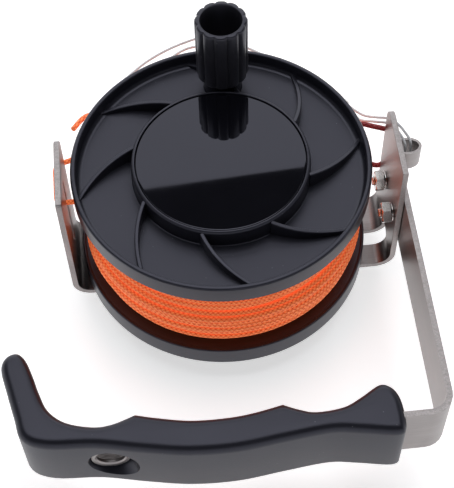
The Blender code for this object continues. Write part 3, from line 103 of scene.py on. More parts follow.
STRAP_EYE = Vector((RIGHT_WING_X, EYE_CENTRE_Y, STRAP_MIDDLE))
GRIP_LEFT_X = -0.095
GRIP_LENGTH = 0.154
GRIP_FRONT_Y = -0.1245
GRIP_REACH = 0.0525
GRIP_THICKNESS = 0.0334
WIRE_SPACING = 0.0017
SLEEVE_LENGTH = 0.009
KNOB_REACH = 0.0475
KNOB_DEGREES = 83.5
SLOT_LINE_Z = 0.0525
BOLT_TAIL_X = 0.0672
BOLT_PLACES = (("rear", 0.0048), ("front", -0.0126))

# The winding's outline: how far it stands out, where it is fullest and where it falls back,
# as shares of its height
LINE_CROWN = 0.0036
CROWN_SINK = 0.0010
CROWN_PEAK = 0.3
CROWN_FALL = 0.45
CROWN_FALL_SPAN = 0.20
CROWN_LOSS = 0.8

# The dish floor of the front flange: its height over the label's cup, and its rise to the rim
FLOOR_OVER_CUP = 0.0033
FLOOR_RISE = 0.0006

# The camera: degrees, metres from the middle of the spool's top, and millimetres of lens
CAMERA_RISE, CAMERA_LEAN, CAMERA_TURN = 56.445, -1.812, -4.23
CAMERA_BACK, CAMERA_ASIDE, CAMERA_BELOW = 0.524925, 0.002583, 0.034841
CAMERA_LENS = 92.24

SHEEN = (0.82, 0.82, 1.0, 1.0)
WHITE = (1.0, 1.0, 1.0, 1.0)
LAMP_TINT = (0.96, 0.975, 1.0)
ROOM_TINT = (0.95, 0.965, 1.0, 1.0)

# Routes of the loose line and the wire, in steps of ROUTE_STEP, as the solids have them
TAIL_ROUTE = (
    (0.70, 0.00, 0.00), (0.30, 0.00, 0.00), (-0.06, 0.00, 0.00), (-0.23, 0.01, 0.00),
    (-0.38, 0.08, 0.00), (-0.44, 0.25, 0.01), (-0.44, 0.75, 0.07), (-0.44, 1.25, 0.12),
    (-0.44, 1.61, 0.15), (-0.36, 1.88, 0.15), (-0.13, 2.01, 0.17), (0.25, 2.07, 0.25),
    (0.64, 2.27, 0.27), (0.94, 2.87, 0.03), (1.14, 3.43, -0.37), (1.51, 3.99, -0.65),
    (1.73, 4.51, -0.72), (1.56, 4.97, -0.57), (1.18, 5.00, -0.33), (0.84, 4.60, -0.03),
    (0.41, 3.85, 0.20),
)
BIGHT_ROUTE = (
    (-1.66, 1.31, 1.60), (-1.28, 1.26, 1.75), (-0.89, 1.17, 1.84), (-0.46, 1.00, 1.83),
    (-0.06, 0.89, 1.77), (0.22, 0.91, 1.61), (0.37, 0.98, 1.33), (0.41, 1.01, 0.85),
    (0.41, 1.01, 0.25), (0.38, 0.99, -0.30), (0.28, 0.95, -0.69), (0.06, 0.89, -0.89),
    (-0.24, 0.88, -0.84), (-0.58, 0.96, -0.67), (-1.02, 1.11, -0.46), (-1.51, 1.22, -0.30),
)
SLEEVE_PLACE = (-1.61, 3.33, 1.00)
SLEEVE_HEADING = Vector((0.64, -0.77, 0.0)).normalized()
WIRE_EYE_ROUTE = (
    (-0.66, 2.34, 1.04), (-0.23, 1.64, 1.65), (0.17, 1.02, 2.27), (0.54, 0.74, 2.21),
    (0.86, 0.46, 1.91), (1.09, 0.22, 1.55), (1.13, 0.06, 0.95), (1.12, 0.02, 0.35),
    (1.08, 0.02, 0.18), (0.92, 0.01, 0.18), (0.88, 0.00, 0.35), (0.87, 0.00, 0.95),
    (0.84, 0.14, 1.53), (0.64, 0.43, 1.85), (0.38, 0.75, 2.03), (0.06, 0.90, 2.14),
    (-0.38, 1.50, 1.55), (-0.82, 2.20, 0.91),
)
WIRE_BACK_ROUTE = (
    (-2.26, 4.11, 0.90), (-3.66, 5.28, 0.85), (-5.26, 6.13, 0.85), (-6.76, 7.20, 0.93),
    (-8.21, 7.30, 0.95), (-9.76, 6.18, 0.90), (-11.21, 4.96, 0.80), (-11.81, 4.62, 0.78),
    (-12.04, 4.96, 0.85), (-11.21, 5.80, 0.88), (-9.96, 6.92, 0.85), (-8.49, 7.71, 0.85),
    (-7.01, 8.00, 0.90), (-5.61, 7.21, 0.95), (-4.16, 6.04, 1.00), (-2.36, 4.63, 1.00),
)

# Grip outline in plan, as shares of its length and reach, from the horn's tip by the fingers
GRIP_OUTLINE = (
    (0.040, 0.975), (0.062, 0.915), (0.080, 0.775), (0.095, 0.628), (0.117, 0.475),
    (0.160, 0.365), (0.226, 0.308), (0.275, 0.315), (0.333, 0.372), (0.385, 0.332),
    (0.470, 0.283), (0.560, 0.276), (0.628, 0.295), (0.702, 0.338), (0.742, 0.285),
    (0.784, 0.252), (0.852, 0.270), (0.900, 0.337), (0.948, 0.418), (0.975, 0.400),
    (0.993, 0.330), (1.000, 0.218), (0.998, 0.060), (0.975, 0.010), (0.890, 0.050),
    (0.815, 0.078), (0.700, 0.045), (0.580, 0.005), (0.460, 0.014), (0.345, 0.072),
    (0.230, 0.142), (0.110, 0.172), (0.050, 0.260), (0.032, 0.440), (0.014, 0.655),
    (0.000, 0.850), (0.012, 0.945),
)
GRIP_CUSPS = (8, 13)


def measure(name, about, default):
    return FloatProperty(
        name=name, description=about, default=default, unit="LENGTH", precision=5,
    )


def tint(name, about, *default):
    return FloatVectorProperty(name=name, description=about, subtype="COLOR", default=default)


def light(name, about, default, **more):
    return FloatProperty(name=name, description=about, default=default, min=0.0, **more)


class ReelSizes(bpy.types.PropertyGroup):
    """Sizes that a maker of this reel would change."""

    line_diameter: measure("Line diameter", "Thickness of the braided line", 0.0023)
    line_pitch: measure("Turn spacing", "Distance between turns of line", 0.00236)
    wire_diameter: measure("Wire diameter", "Thickness of the coated wire", 0.0012)
    rib_width: measure("Rib width", "Thickness of the spiral ribs in the dish", 0.0018)
    rib_count: IntProperty(
        name="Ribs", description="Number of spiral ribs in the dish", default=8, min=1,
    )
    knob_lobes: IntProperty(
        name="Knob lobes", description="Number of ridges round the crank knob", default=12,
    )
    edge_break: measure("Edge break", "Rounding of the sheet metal's cut edges", 0.00028)
    grip_rounding: measure("Grip rounding", "Rounding of the grip's long edges", 0.0036)


class ReelColours(bpy.types.PropertyGroup):
    """Colours of the reel's finishes."""

    plastic: tint("Spool plastic", "Colour of the moulded spool", 0.012, 0.012, 0.017)
    grip: tint("Grip plastic", "Colour of the moulded grip", 0.010, 0.010, 0.014)
    knob: tint("Knob plastic", "Colour of the crank knob", 0.011, 0.011, 0.014)
    line: tint("Line", "Colour of the braided line", 0.97, 0.175, 0.048)
    steel: tint("Sheet steel", "Colour of the brushed stainless sheet", 0.29, 0.268, 0.264)
    bright: tint("Bright steel", "Colour of polished fasteners", 0.70, 0.68, 0.66)
    label: tint("Label", "Colour of the blank gloss label", 0.003, 0.003, 0.0045)
    floor: tint("Floor", "Colour of the stage floor", 0.93, 0.93, 0.93)


class ReelStage(bpy.types.PropertyGroup):
    """The soft studio light."""

    walls: light("Wall light", "Brightness of the room's pale walls", 0.95)
    ceiling: light("Ceiling light", "Brightness of the room's dark ceiling", 0.05)
    softbox: light("Softbox", "Power of the softbox behind the reel", 8.4, unit="POWER")
    fill: light("Front fill", "Power of the fill light over the camera", 2.6, unit="POWER")
    overhead: light("Overhead", "Power of the soft light overhead", 12.0, unit="POWER")
    table: light("Table light", "Light that comes through the pale floor", 0.58)


class Signal:
    """A shader socket whose Python operators add the Math nodes that work it out."""

    def __init__(self, finish, socket):
        self.finish = finish
        self.socket = socket

    def math(self, operation, first, second=0.0, clamp=False):
        settings = {"operation": operation, "use_clamp": clamp}
        return self.finish.node("ShaderNodeMath", settings, {0: first, 1: second})

    def __add__(self, other):
        return self.math("ADD", self, other)

    def __sub__(self, other):
        return self.math("SUBTRACT", self, other)

    def __rsub__(self, other):
        return self.math("SUBTRACT", other, self)

    def __mul__(self, other):
        return self.math("MULTIPLY", self, other)

    def __pow__(self, other):
        return self.math("POWER", self, other)

    def __gt__(self, other):
        return self.math("GREATER_THAN", self, other)

    def __abs__(self):
        return self.math("ABSOLUTE", self)

    __radd__ = __add__
    __rmul__ = __mul__

    def fraction(self):
        return self.math("FRACT", self)

    def floor(self):
        return self.math("FLOOR", self)

    def clamped(self):
        return self.math("ADD", self, 0.0, clamp=True)

    def between(self, low, high):
        """0 below low, 1 above high and a smooth rise between."""
        settings = {"interpolation_type": "SMOOTHSTEP"}
        return self.finish.node("ShaderNodeMapRange", settings, {0: self, 1: low, 2: high})


class Finish:
    """A material whose nodes are added one call at a time."""

    def __init__(self, name, colour, roughness, metallic=0.0, **constants):
        self.material = bpy.data.materials.new(name)
        self.material.use_nodes = True
        self.tree = self.material.node_tree
        self.shader = self.tree.nodes["Principled BSDF"]
        self.shader.inputs["Base Color"].default_value = (*colour, 1.0)
        self.shader.inputs["Roughness"].default_value = roughness
        self.shader.inputs["Metallic"].default_value = metallic
        for key, value in constants.items():
            self.shader.inputs[key.replace("_", " ").title()].default_value = value
        self.material.diffuse_color = (*colour, 1.0)

    def node(self, kind, settings=None, sockets=None, out=0):
        made = self.tree.nodes.new(kind)
        for key, value in (settings or {}).items():
            setattr(made, key, value)
        for key, value in (sockets or {}).items():
            self.feed(made.inputs[key], value)
        return Signal(self, made.outputs[out])

    def feed(self, socket, value):
        if isinstance(value, Signal):
            self.tree.links.new(value.socket, socket)
        else:
            socket.default_value = value

    def place(self, *scale):
        """Object coordinates, stretched by a scale for each axis."""
        here = self.node("ShaderNodeTexCoord", out="Object")
        if not scale:
            return here
        return self.node("ShaderNodeMapping", None, {"Vector": here, "Scale": scale})

    def noise(self, where, scale, detail=2.0, rough=0.5):
        sockets = {"Vector": where, "Scale": scale, "Detail": detail, "Roughness": rough}
        return self.node("ShaderNodeTexNoise", None, sockets)

    def cells(self, where, scale):
        return self.node("ShaderNodeTexVoronoi", None, {"Vector": where, "Scale": scale})

    def blend(self, share, first, second):
        """One colour turning into another."""
        first, second = (c if isinstance(c, Signal) else (*c, 1.0) for c in (first, second))
        sockets = {0: share, 6: first, 7: second}
        return self.node("ShaderNodeMix", {"data_type": "RGBA"}, sockets, out=2)

    def shine(self, level):
        """The strong, cool reflection of the reel's plastics."""
        self.shader.inputs["Specular IOR Level"].default_value = level
        self.shader.inputs["Specular Tint"].default_value = SHEEN

    def carriers(self):
        """The cord's own map, and a point's places along the cord and round it."""
        wrap = self.node("ShaderNodeUVMap", {"uv_map": "UVMap"})
        split = self.tree.nodes.new("ShaderNodeSeparateXYZ")
        self.feed(split.inputs[0], wrap)
        return wrap, Signal(self, split.outputs[0]), Signal(self, split.outputs[1])

    def wear(self, colour=None, roughness=None, height=None, depth=0.00002, strength=1.0):
        """Links what changes over the surface to the shader."""
        if colour is not None:
            self.feed(self.shader.inputs["Base Color"], colour)
        if roughness is not None:
            self.feed(self.shader.inputs["Roughness"], roughness)
        if height is not None:
            sockets = {"Height": height, "Distance": depth, "Strength": strength}
            self.feed(self.shader.inputs["Normal"], self.node("ShaderNodeBump", None, sockets))
        return self.material


class Room(Finish):
    """The world round the stage, whose nodes are added in the same way."""

    def __init__(self, name):
        self.world = bpy.data.worlds.new(name)
        self.world.use_nodes = True
        self.tree = self.world.node_tree
        self.background = self.tree.nodes["Background"]


def shade(colour, factor):
    return tuple(min(1.0, part * factor) for part in colour)


def brushed_sheet(name, colour, stretch):
    """Satin stainless sheet with fine brush lines, faint blotches and a few scratches."""
    made = Finish(name, colour, 0.33, 1.0)
    lines = made.noise(made.place(*stretch), 1.0, 4.0, 0.62)
    blotch = made.noise(made.place(), 70.0, 3.0)
    pits = made.cells(made.place(), 900.0).between(0.10, 0.02)
    tone = (lines - 0.5) * 0.9 + (blotch - 0.5) * 0.7 + 0.5
    base = made.blend(tone.clamped(), shade(colour, 0.72), shade(colour, 1.30))
    base = made.blend(pits * 0.35, base, shade(colour, 1.9))
    rough = 0.25 + lines * 0.16 + blotch * 0.06
    return made.wear(base, rough, lines - pits * 0.3, 0.00003, 0.35)


def bracket_sheet():
    return brushed_sheet("bracket_sheet", colours().steel, (60.0, 2600.0, 60.0))


def strap_sheet():
    return brushed_sheet("strap_sheet", colours().steel, (50.0, 50.0, 2400.0))


def sheared_edge():
    """The speckled, lighter edge that a shear leaves on sheet metal."""
    colour = shade(colours().steel, 1.15)
    made = Finish("sheared_edge", colour, 0.46, 1.0)
    speck = made.noise(made.place(), 1500.0, 4.0, 0.7)
    drag = made.noise(made.place(500.0, 500.0, 90.0), 1.0, 2.0)
    tone = ((speck - 0.5) * 1.5 + (drag - 0.5) * 0.8 + 0.5).clamped()
    base = made.blend(tone, shade(colour, 0.62), shade(colour, 1.30))
    return made.wear(base, 0.36 + speck * 0.26, speck, 0.00007, 0.6)


def bright_steel():
    """Polished fasteners with faint turning lines and finger smears."""
    colour = colours().bright
    made = Finish("bright_steel", colour, 0.17, 1.0)
    smear = made.noise(made.place(), 260.0, 3.0)
    fine = made.noise(made.place(900.0, 900.0, 5200.0), 1.0, 2.0)
    base = made.blend(smear, shade(colour, 0.80), shade(colour, 1.12))
    return made.wear(base, 0.10 + smear * 0.12 + fine * 0.05, fine, 0.00001, 0.25)


def moulded(name, colour, roughness, grain_scale, grain_depth, shine=0.5):
    """Moulded plastic with a fine spark-eroded grain, flow marks and a little dust."""
    made = Finish(name, colour, roughness)
    made.shine(shine)
    here = made.place()
    grain = made.noise(here, grain_scale, 2.0, 0.6)
    flow = made.noise(here, 38.0, 3.0)
    dust = made.cells(here, 330.0).between(0.085, 0.045) * (made.noise(here, 90.0) > 0.56)
    base = made.blend(flow, shade(colour, 0.86), shade(colour, 1.16))
    base = made.blend(dust * 0.30, base, (0.30, 0.30, 0.32))
    rough = roughness - 0.07 + flow * 0.10 + grain * 0.05
    return made.wear(base, rough, grain, grain_depth, 0.5)


def spool_plastic():
    return moulded("spool_plastic", colours().plastic, 0.34, 2300.0, 0.00003, 0.52)


def knob_plastic():
    return moulded("knob_plastic", colours().knob, 0.30, 2300.0, 0.00003)


def grained_grip():
    return moulded("grained_grip", colours().grip, 0.36, 1700.0, 0.00005, 0.48)


def lacquered_label():
    """A blank label under clear lacquer, with the faint ripple of a laminated film."""
    made = Finish("lacquered_label", colours().label, 0.03)
    made.shine(0.56)
    here = made.place()
    ripple = made.noise(here, 150.0, 2.0)
    haze = made.noise(here, 55.0, 4.0)
    base = made.blend(haze, shade(colours().label, 0.7), shade(colours().label, 1.6))
    return made.wear(base, 0.01 + haze * 0.03, ripple, 0.00002, 0.03)


def braided_line(name="braided_line", colour=None, glow=0.40):
    """A braid read from the cord's own map: one unit of V is one carrier round the cord and
    one unit of U is one carrier along it. Its darker grooves are painted shade, its lighter,
    yellower crests a painted highlight, and its glow is painted light."""
    colour = colour or colours().line
    # The line glows with its own colour by glow: painted light, not a lamp.
    made = Finish(name, colour, 0.62, emission_strength=glow)
    wrap, along, around = made.carriers()
    one, two = along + around, along - around
    across_one, across_two = (abs(s.fraction() - 0.5) * 2 for s in (one, two))
    odd = abs((one.floor() + two.floor()) * 0.5).fraction() > 0.25
    over_one = (1 - across_two ** 2) * (1 - across_one ** 2 * 0.45)
    over_two = (1 - across_one ** 2) * (1 - across_two ** 2 * 0.45)
    height = over_one * odd + over_two * (1 - odd)
    yarn = made.noise(wrap, 2.4, 3.0)
    fade = made.noise(made.place(), 130.0, 2.0)
    # crest is a painted highlight on the carriers' tops; fleck is the yarn's own lighter fibres.
    crest, fleck = (colour[0] * 1.08, colour[1] * 1.8, colour[2] * 2.2), shade(colour, 1.05)
    fleck = (fleck[0], colour[1] * 2.3, colour[2] * 1.8)
    # Painted shade: the grooves between the carriers are darkened to 0.45 of the colour.
    base = made.blend(height.between(0.05, 0.70), shade(colour, 0.45), colour)
    base = made.blend(height.between(0.55, 1.0) * 0.8, base, crest)
    base = made.blend(((yarn - 0.50) * 2.2).clamped() * 0.5, base, fleck)
    base = made.blend(fade.between(0.5, 0.8) * 0.35, base, shade(colour, 0.75))
    # Painted light: the braid's colour is also fed to its glow.
    made.feed(made.shader.inputs["Emission Color"], base)
    return made.wear(base, 0.72 - height * 0.16, height + yarn * 0.3, 0.00022, 1.0)


def shaded_line():
    """The same braid in a dark red that is painted shade, with a faint glow, for the bight behind
    the bracket.
    """
    return braided_line("shaded_line", (0.34, 0.022, 0.022), 0.04)


def coated_wire():
    """Thin twisted wire under a milky plastic coat, its twist read from the wire's map."""
    made = Finish("coated_wire", (0.74, 0.74, 0.75), 0.24, coat_weight=0.6)
    _, along, around = made.carriers()
    strand = abs((along + around).fraction() - 0.5) * 2
    haze = made.noise(made.place(), 320.0, 2.0)
    # Painted shade: the seams between the twisted strands are darker.
    base = made.blend(strand.between(0.60, 1.0), (0.78, 0.78, 0.79), (0.46, 0.46, 0.47))
    return made.wear(base, 0.18 + haze * 0.16, 1 - strand ** 3, 0.00005, 0.6)


def bush_plastic():
    made = Finish("bush_plastic", (0.56, 0.54, 0.48), 0.42)
    cloud = made.noise(made.place(), 420.0, 3.0)
    base = made.blend(cloud, (0.48, 0.46, 0.41), (0.62, 0.60, 0.54))
    return made.wear(base, 0.36 + cloud * 0.14, cloud, 0.00002, 0.4)


def pale_floor():
    """A lit table top, so that shadows on it stay faint."""
    made = Finish(
        "pale_floor", colours().floor, 0.85, emission_color=WHITE,
        emission_strength=bpy.context.scene.reel_stage.table,
    )
    cloud = made.noise(made.place(), 3.0, 2.0)
    base = made.blend(cloud, shade(colours().floor, 0.985), shade(colours().floor, 1.0))
    return made.wear(base, 0.80 + cloud * 0.08)


MAKERS = (
    bracket_sheet, strap_sheet, sheared_edge, bright_steel, spool_plastic, knob_plastic,
    grained_grip, lacquered_label, braided_line, shaded_line, coated_wire, bush_plastic,
    pale_floor,
)


def finish(name):
    """The named finish, made the first time that it is asked for."""
    made = bpy.data.materials.get(name)
    if made is None:
        maker = next(m for m in MAKERS if m.__name__ == name)
        made = maker()
    return made


def sizes():
    return bpy.context.scene.reel_sizes


def colours():
    return bpy.context.scene.reel_colours


def deselect():
    if bpy.context.mode != "OBJECT":
        bpy.ops.object.mode_set(mode="OBJECT")
    bpy.ops.object.select_all(action="DESELECT")


def pick(obj, edit=False):
    """Selects one object alone, and goes into edit mode with all of it selected."""
    deselect()
    obj.select_set(True)
    bpy.context.view_layer.objects.active = obj
    if edit:
        bpy.ops.object.mode_set(mode="EDIT")
        bpy.ops.mesh.select_all(action="SELECT")
    return obj


def draw(name, points):
    """Starts from a plane merged to one point and extrudes it along the points. It stays in
    edit mode, all selected."""
    deselect()
    bpy.ops.mesh.primitive_plane_add(size=GAP, location=points[0])
    obj = bpy.context.object
    obj.name = obj.data.name = name
    bpy.ops.object.transform_apply(location=True, rotation=False, scale=False)
    bpy.ops.object.mode_set(mode="EDIT")
    bpy.ops.mesh.select_all(action="SELECT")
    bpy.ops.mesh.merge(type="CENTER")
    for before, after in zip(points, points[1:]):
        step = [b - a for a, b in zip(before, after)]
        bpy.ops.mesh.extrude_vertices_move(TRANSFORM_OT_translate={"value": step})
    bpy.ops.mesh.select_all(action="SELECT")
    return obj


def close_up():
    """Merges doubles, turns the faces outwards and leaves edit mode."""
    bpy.ops.mesh.select_all(action="SELECT")
    bpy.ops.mesh.remove_doubles(threshold=1e-6)
    bpy.ops.mesh.normals_make_consistent(inside=False)
    bpy.ops.object.mode_set(mode="OBJECT")


def turned(name, profile, steps=144):
    """Spins a profile of (radius, height) points about Z. One that ends where it starts
    leaves a bore."""
    obj = draw(name, [(radius, 0.0, height) for radius, height in profile])
    bpy.ops.mesh.spin(
        steps=steps, angle=tau, center=(0, 0, 0), axis=(0, 0, 1), use_auto_merge=True
    )
    close_up()
    return obj


def pulled(name, outline, low, high):
    """Fills an outline in plan and extrudes it up."""
    obj = draw(name, [(x, y, low) for x, y in outline])
    bpy.ops.mesh.edge_face_add()
    bpy.ops.mesh.extrude_region_move(TRANSFORM_OT_translate={"value": (0, 0, high - low)})
    close_up()
    return obj


def modify(obj, kind, **settings):
    """Adds a modifier and applies it."""
    pick(obj)
    modifier = obj.modifiers.new(kind.lower(), kind)
    for key, value in settings.items():
        setattr(modifier, key, value)
    bpy.ops.object.modifier_apply(modifier=modifier.name)
    return obj


def soften(obj, width, segments=2, sharper_than=28):
    """Rounds the sharp edges and smooths the rest, with the wide faces left flat."""
    modify(
        obj, "BEVEL", width=width, segments=segments, limit_method="ANGLE",
        angle_limit=radians(sharper_than), use_clamp_overlap=True,
    )
    return modify(smooth(obj), "WEIGHTED_NORMAL", keep_sharp=True)


def smooth(obj, angle=32):
    pick(obj)
    bpy.ops.object.shade_smooth_by_angle(angle=radians(angle))
    return obj


def cut(obj, cutter):
    modify(obj, "BOOLEAN", object=cutter, operation="DIFFERENCE", solver="EXACT")
    bpy.data.objects.remove(cutter)
    return obj


def added(name, data):
    """A new object in the scene."""
    obj = bpy.data.objects.new(name, data)
    bpy.context.scene.collection.objects.link(obj)
    return obj


def unselect(*parts):
    for part in parts:
        part.select = False


def rotation(degrees, axis="Z"):
    return Matrix.Rotation(radians(degrees), 4, axis)


def put(obj, place, turn=None):
    """Turns and moves a piece and keeps its place in its mesh."""
    pick(obj)
    obj.matrix_world = Matrix.Translation(place) @ (turn or Matrix()).to_4x4()
    bpy.ops.object.transform_apply(location=True, rotation=True, scale=True)
    return obj


def copy_of(obj, name):
    """A second piece with its own mesh."""
    pick(obj)
    bpy.ops.object.duplicate(linked=False)
    twin = bpy.context.object
    twin.name = twin.data.name = name
    return twin


def refined(node, name, width, sharper_than=28):
    """A copy of a node's solid with its triangles merged and its edges rounded."""
    source = NODES[node]
    obj = added(name, source.data.copy())
    obj.data.name = name
    obj.data.materials.clear()
    pick(obj, edit=True)
    bpy.ops.mesh.remove_doubles(threshold=1e-6)
    bpy.ops.mesh.dissolve_limited(angle_limit=radians(1))
    bpy.ops.object.mode_set(mode="OBJECT")
    return soften(obj, width, 2, sharper_than)


def dress(obj, body, look, slot, *replaced):
    """Gives a piece its finish, its body and the solids that it stands for."""
    obj.data.materials.clear()
    obj.data.materials.append(finish(look))
    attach(obj, body)
    if replaced:
        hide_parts(*replaced)
    return obj


def mould(obj, *replaced):
    """Dresses a piece of the moulded spool."""
    return dress(obj, "spool", "spool_plastic", "black_plastic", *replaced)


def fasten(obj, body, node):
    """Dresses a polished fastener."""
    return dress(obj, body, "bright_steel", "bright_fasteners", node)


def dress_nodes(look, *names):
    """Gives solids that stay as they are a better finish."""
    for name in names:
        NODES[name].data.materials.clear()
        NODES[name].data.materials.append(finish(look))


def second_look(obj, look, wanted):
    """Gives the faces that a test picks a second finish."""
    obj.data.materials.append(finish(look))
    for face in obj.data.polygons:
        if wanted(face):
            face.material_index = 1


def polar(radius, degrees, z=0.0):
    angle = radians(degrees)
    return Vector((radius * cos(angle), radius * sin(angle), z))


def route_from(start, steps):
    return [start + Vector(step) * ROUTE_STEP for step in steps]


def smooth_route(points, per_span, closed=False, cusps=()):
    """A smooth curve through the points, by Catmull and Rom's rule, bent at the cusps."""
    count = len(points)
    made = []
    for i in range(count if closed else count - 1):
        if closed:
            a, b, c, d = (points[(i + k) % count] for k in (-1, 0, 1, 2))
        else:
            a, b, c, d = (points[min(max(i + k, 0), count - 1)] for k in (-1, 0, 1, 2))
        if i in cusps:
            a = b
        if (i + 1) % count in cusps:
            d = c
        for j in range(per_span):
            t = j / per_span
            bend = (2 * a - 5 * b + 4 * c - d) * t * t + (3 * b - a - 3 * c + d) * t * t * t
            made.append(b + ((c - a) * t + bend) / 2)
    return made if closed else made + [points[-1]]


def route_length(points):
    return sum((b - a).length for a, b in zip(points, points[1:]))


def strand(name, points, radius, around, along, resolution):
    """A round cord through the points as a mesh. Its map counts carriers: `around` of them
    round the cord, each `along` metres long."""
    data = bpy.data.curves.new(name, "CURVE")
    data.dimensions = "3D"
    data.bevel_depth = radius
    data.bevel_resolution = resolution
    data.use_fill_caps = True
    spline = data.splines.new("POLY")
    spline.points.add(len(points) - 1)
    for slot, point in zip(spline.points, points):
        slot.co = (*point, 1.0)
    pick(added(name, data))
    bpy.ops.object.convert(target="MESH")
    obj = bpy.context.object
    layer = obj.data.uv_layers[0]
    layer.name = "UVMap"
    reach = route_length(points)
    for loop in layer.data:
        loop.uv = (loop.uv[0] * reach / along, loop.uv[1] * around)
    return smooth(obj, 60)


class ReelOperator(bpy.types.Operator):
    """A step that makes some of the reel's pieces."""

    bl_options = {"REGISTER", "UNDO"}


class REEL_OT_camera(ReelOperator):
    """Places the camera where the photographer stood"""

    bl_idname = "reel.camera"
    bl_label = "Camera"

    def execute(self, context):
        rise, lean = radians(CAMERA_RISE), radians(CAMERA_LEAN)
        back = Vector((0.0, -cos(rise), sin(rise)))
        right = Vector((1.0, 0.0, 0.0))
        up = back.cross(right)
        aside = right * cos(lean) + up * sin(lean)
        above = up * cos(lean) - right * sin(lean)
        centre = back * CAMERA_BACK + aside * CAMERA_ASIDE - above * CAMERA_BELOW
        stand = Matrix((aside, above, back)).transposed().to_4x4()
        stand.translation = centre
        data = bpy.data.cameras.new("camera")
        data.lens = CAMERA_LENS
        data.sensor_width = 36.0
        data.clip_start = 0.01
        camera = added("camera", data)
        top = Matrix.Translation((0, 0, SPOOL_TOP))
        camera.matrix_world = top @ rotation(CAMERA_TURN) @ stand
        context.scene.camera = camera
        return {"FINISHED"}


class REEL_OT_loose_line(ReelOperator):
    """Makes the line's free end at the guide slot and the bight behind the other wing"""

    bl_idname = "reel.loose_line"
    bl_label = "Loose line"

    def execute(self, context):
        thick = sizes().line_diameter
        wing = Vector((LEFT_WING_X, GUIDE_SLOT_Y, SLOT_LINE_Z))
        for name, node, look, start, steps, end in (
            ("line_free_end", "line_tail", "braided_line", wing, TAIL_ROUTE, "bare"),
            ("line_behind_wing", "line_bight", "shaded_line", STRAP_EYE, BIGHT_ROUTE, "object"),
        ):
            path = smooth_route(route_from(start, steps), 8)
            cord = strand(name, path, thick / 2, 4, BRAID_STEP, 5)
            dress(cord, "frame", look, "orange_line", node)
            route_length(path)
        return {"FINISHED"}


class REEL_OT_wire(ReelOperator):
    """Makes the coated wire that runs round behind the spool, and its crimped sleeve"""

    bl_idname = "reel.wire"
    bl_label = "Wire and sleeve"

    def execute(self, context):
        heading = SLEEVE_HEADING
        centre = route_from(STRAP_EYE, (SLEEVE_PLACE,))[0]
        aside = Vector((-heading.y, heading.x, 0)) * WIRE_SPACING / 2
        half = heading * SLEEVE_LENGTH / 2
        route = [centre + aside + heading * GAP, centre + aside + half]
        route += route_from(STRAP_EYE, WIRE_EYE_ROUTE)
        route += [centre - aside + half, centre - aside - half]
        route += route_from(STRAP_EYE, WIRE_BACK_ROUTE)
        route += [centre + aside - half, centre + aside - heading * GAP]
        path = smooth_route(route, 6)
        thick = sizes().wire_diameter
        wire = strand("coated_wire_loop", path, thick / 2, 6, TWIST_STEP, 4)
        dress(wire, "frame", "coated_wire", "steel_wire", "wire_loop")
        sleeve = refined("wire_sleeve", "crimped_sleeve", 0.0002)
        dress(sleeve, "frame", "bright_steel", "steel_wire", "wire_sleeve")
        route_length(path)
        return {"FINISHED"}


def crown(share):
    """How far the winding stands out at a share of its height: most a third of the way up."""
    rise = 1 - (1 - min(1.0, share / CROWN_PEAK)) ** 2
    fall = min(1.0, max(0.0, (share - CROWN_FALL) / CROWN_FALL_SPAN))
    return LINE_CROWN * rise * (1 - CROWN_LOSS * fall * fall * (3 - 2 * fall)) - CROWN_SINK


class REEL_OT_winding(ReelOperator):
    """Winds the line on the barrel: an outer layer, one laid the other way under it, and the
    packed line inside"""

    bl_idname = "reel.winding"
    bl_label = "Wound line"

    def execute(self, context):
        radius = sizes().line_diameter / 2
        outer = WOUND_RADIUS - radius
        for name, at, hand, start, node in (
            ("wound_line", outer, 1, 0.0, "line_winding"),
            ("wound_line_under", outer - radius * 1.5, -1, 2.1, None),
        ):
            path = self.turns(at, radius, hand, start)
            cord = strand(name, path, radius, 4, BRAID_STEP, 3)
            dress(cord, "spool", "braided_line", "orange_line", *([node] if node else []))
        row = sizes().line_pitch
        inside = outer - radius * 3.2
        foot, top = BACK_INNER_FACE + GAP, FRONT_UNDERSIDE - GAP
        profile = [(BARREL_RADIUS + GAP, foot)]
        rows = int((top - foot) / row)
        for i in range(rows):
            low = foot + (top - foot) * i / rows
            full = inside + crown(i / rows)
            profile += [(full, low + row * 0.1), (full + radius * 0.6, low + row * 0.5)]
        profile += [(inside, top), (BARREL_RADIUS + GAP, top), profile[0]]
        pack = smooth(turned("packed_line", profile, 96), 80)
        dress(pack, "spool", "braided_line", "orange_line", "line_core")
        self.wrap(pack, radius)
        return {"FINISHED"}

    def turns(self, at, radius, hand, start):
        """Close turns that wander a little, as line wound by hand does."""
        low = BACK_INNER_FACE + GAP * 2 + radius
        per_turn = 72
        count = int((WINDING_TOP - low) / sizes().line_pitch * per_turn)
        points = []
        for i in range(count + 1):
            turn = i / per_turn
            angle = tau * turn * hand + start
            level = low + (WINDING_TOP - low) * i / count
            level += 0.00030 * sin(angle * 3.07 + turn * 1.9 + start)
            level += 0.00026 * sin(turn * 2.7 + start * 3)
            reach = at + crown(i / count)
            reach += 0.00052 * sin(turn * 4.3 + start) - 0.00030
            reach += 0.00014 * sin(angle * 2.31 + turn)
            points.append(Vector((reach * cos(angle), reach * sin(angle), level)))
        return points

    def wrap(self, obj, radius):
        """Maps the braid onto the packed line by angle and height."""
        layers = obj.data.uv_layers
        layer = layers[0] if layers else layers.new(name="UVMap")
        layer.name = "UVMap"
        for face in obj.data.polygons:
            middle = atan2(face.center.y, face.center.x)
            for loop in face.loop_indices:
                point = obj.data.vertices[obj.data.loops[loop].vertex_index].co
                angle = atan2(point.y, point.x)
                if angle - middle > pi:
                    angle -= tau
                elif middle - angle > pi:
                    angle += tau
                layer.data[loop].uv = (angle * WOUND_RADIUS / BRAID_STEP, point.z / BRAID_STEP)


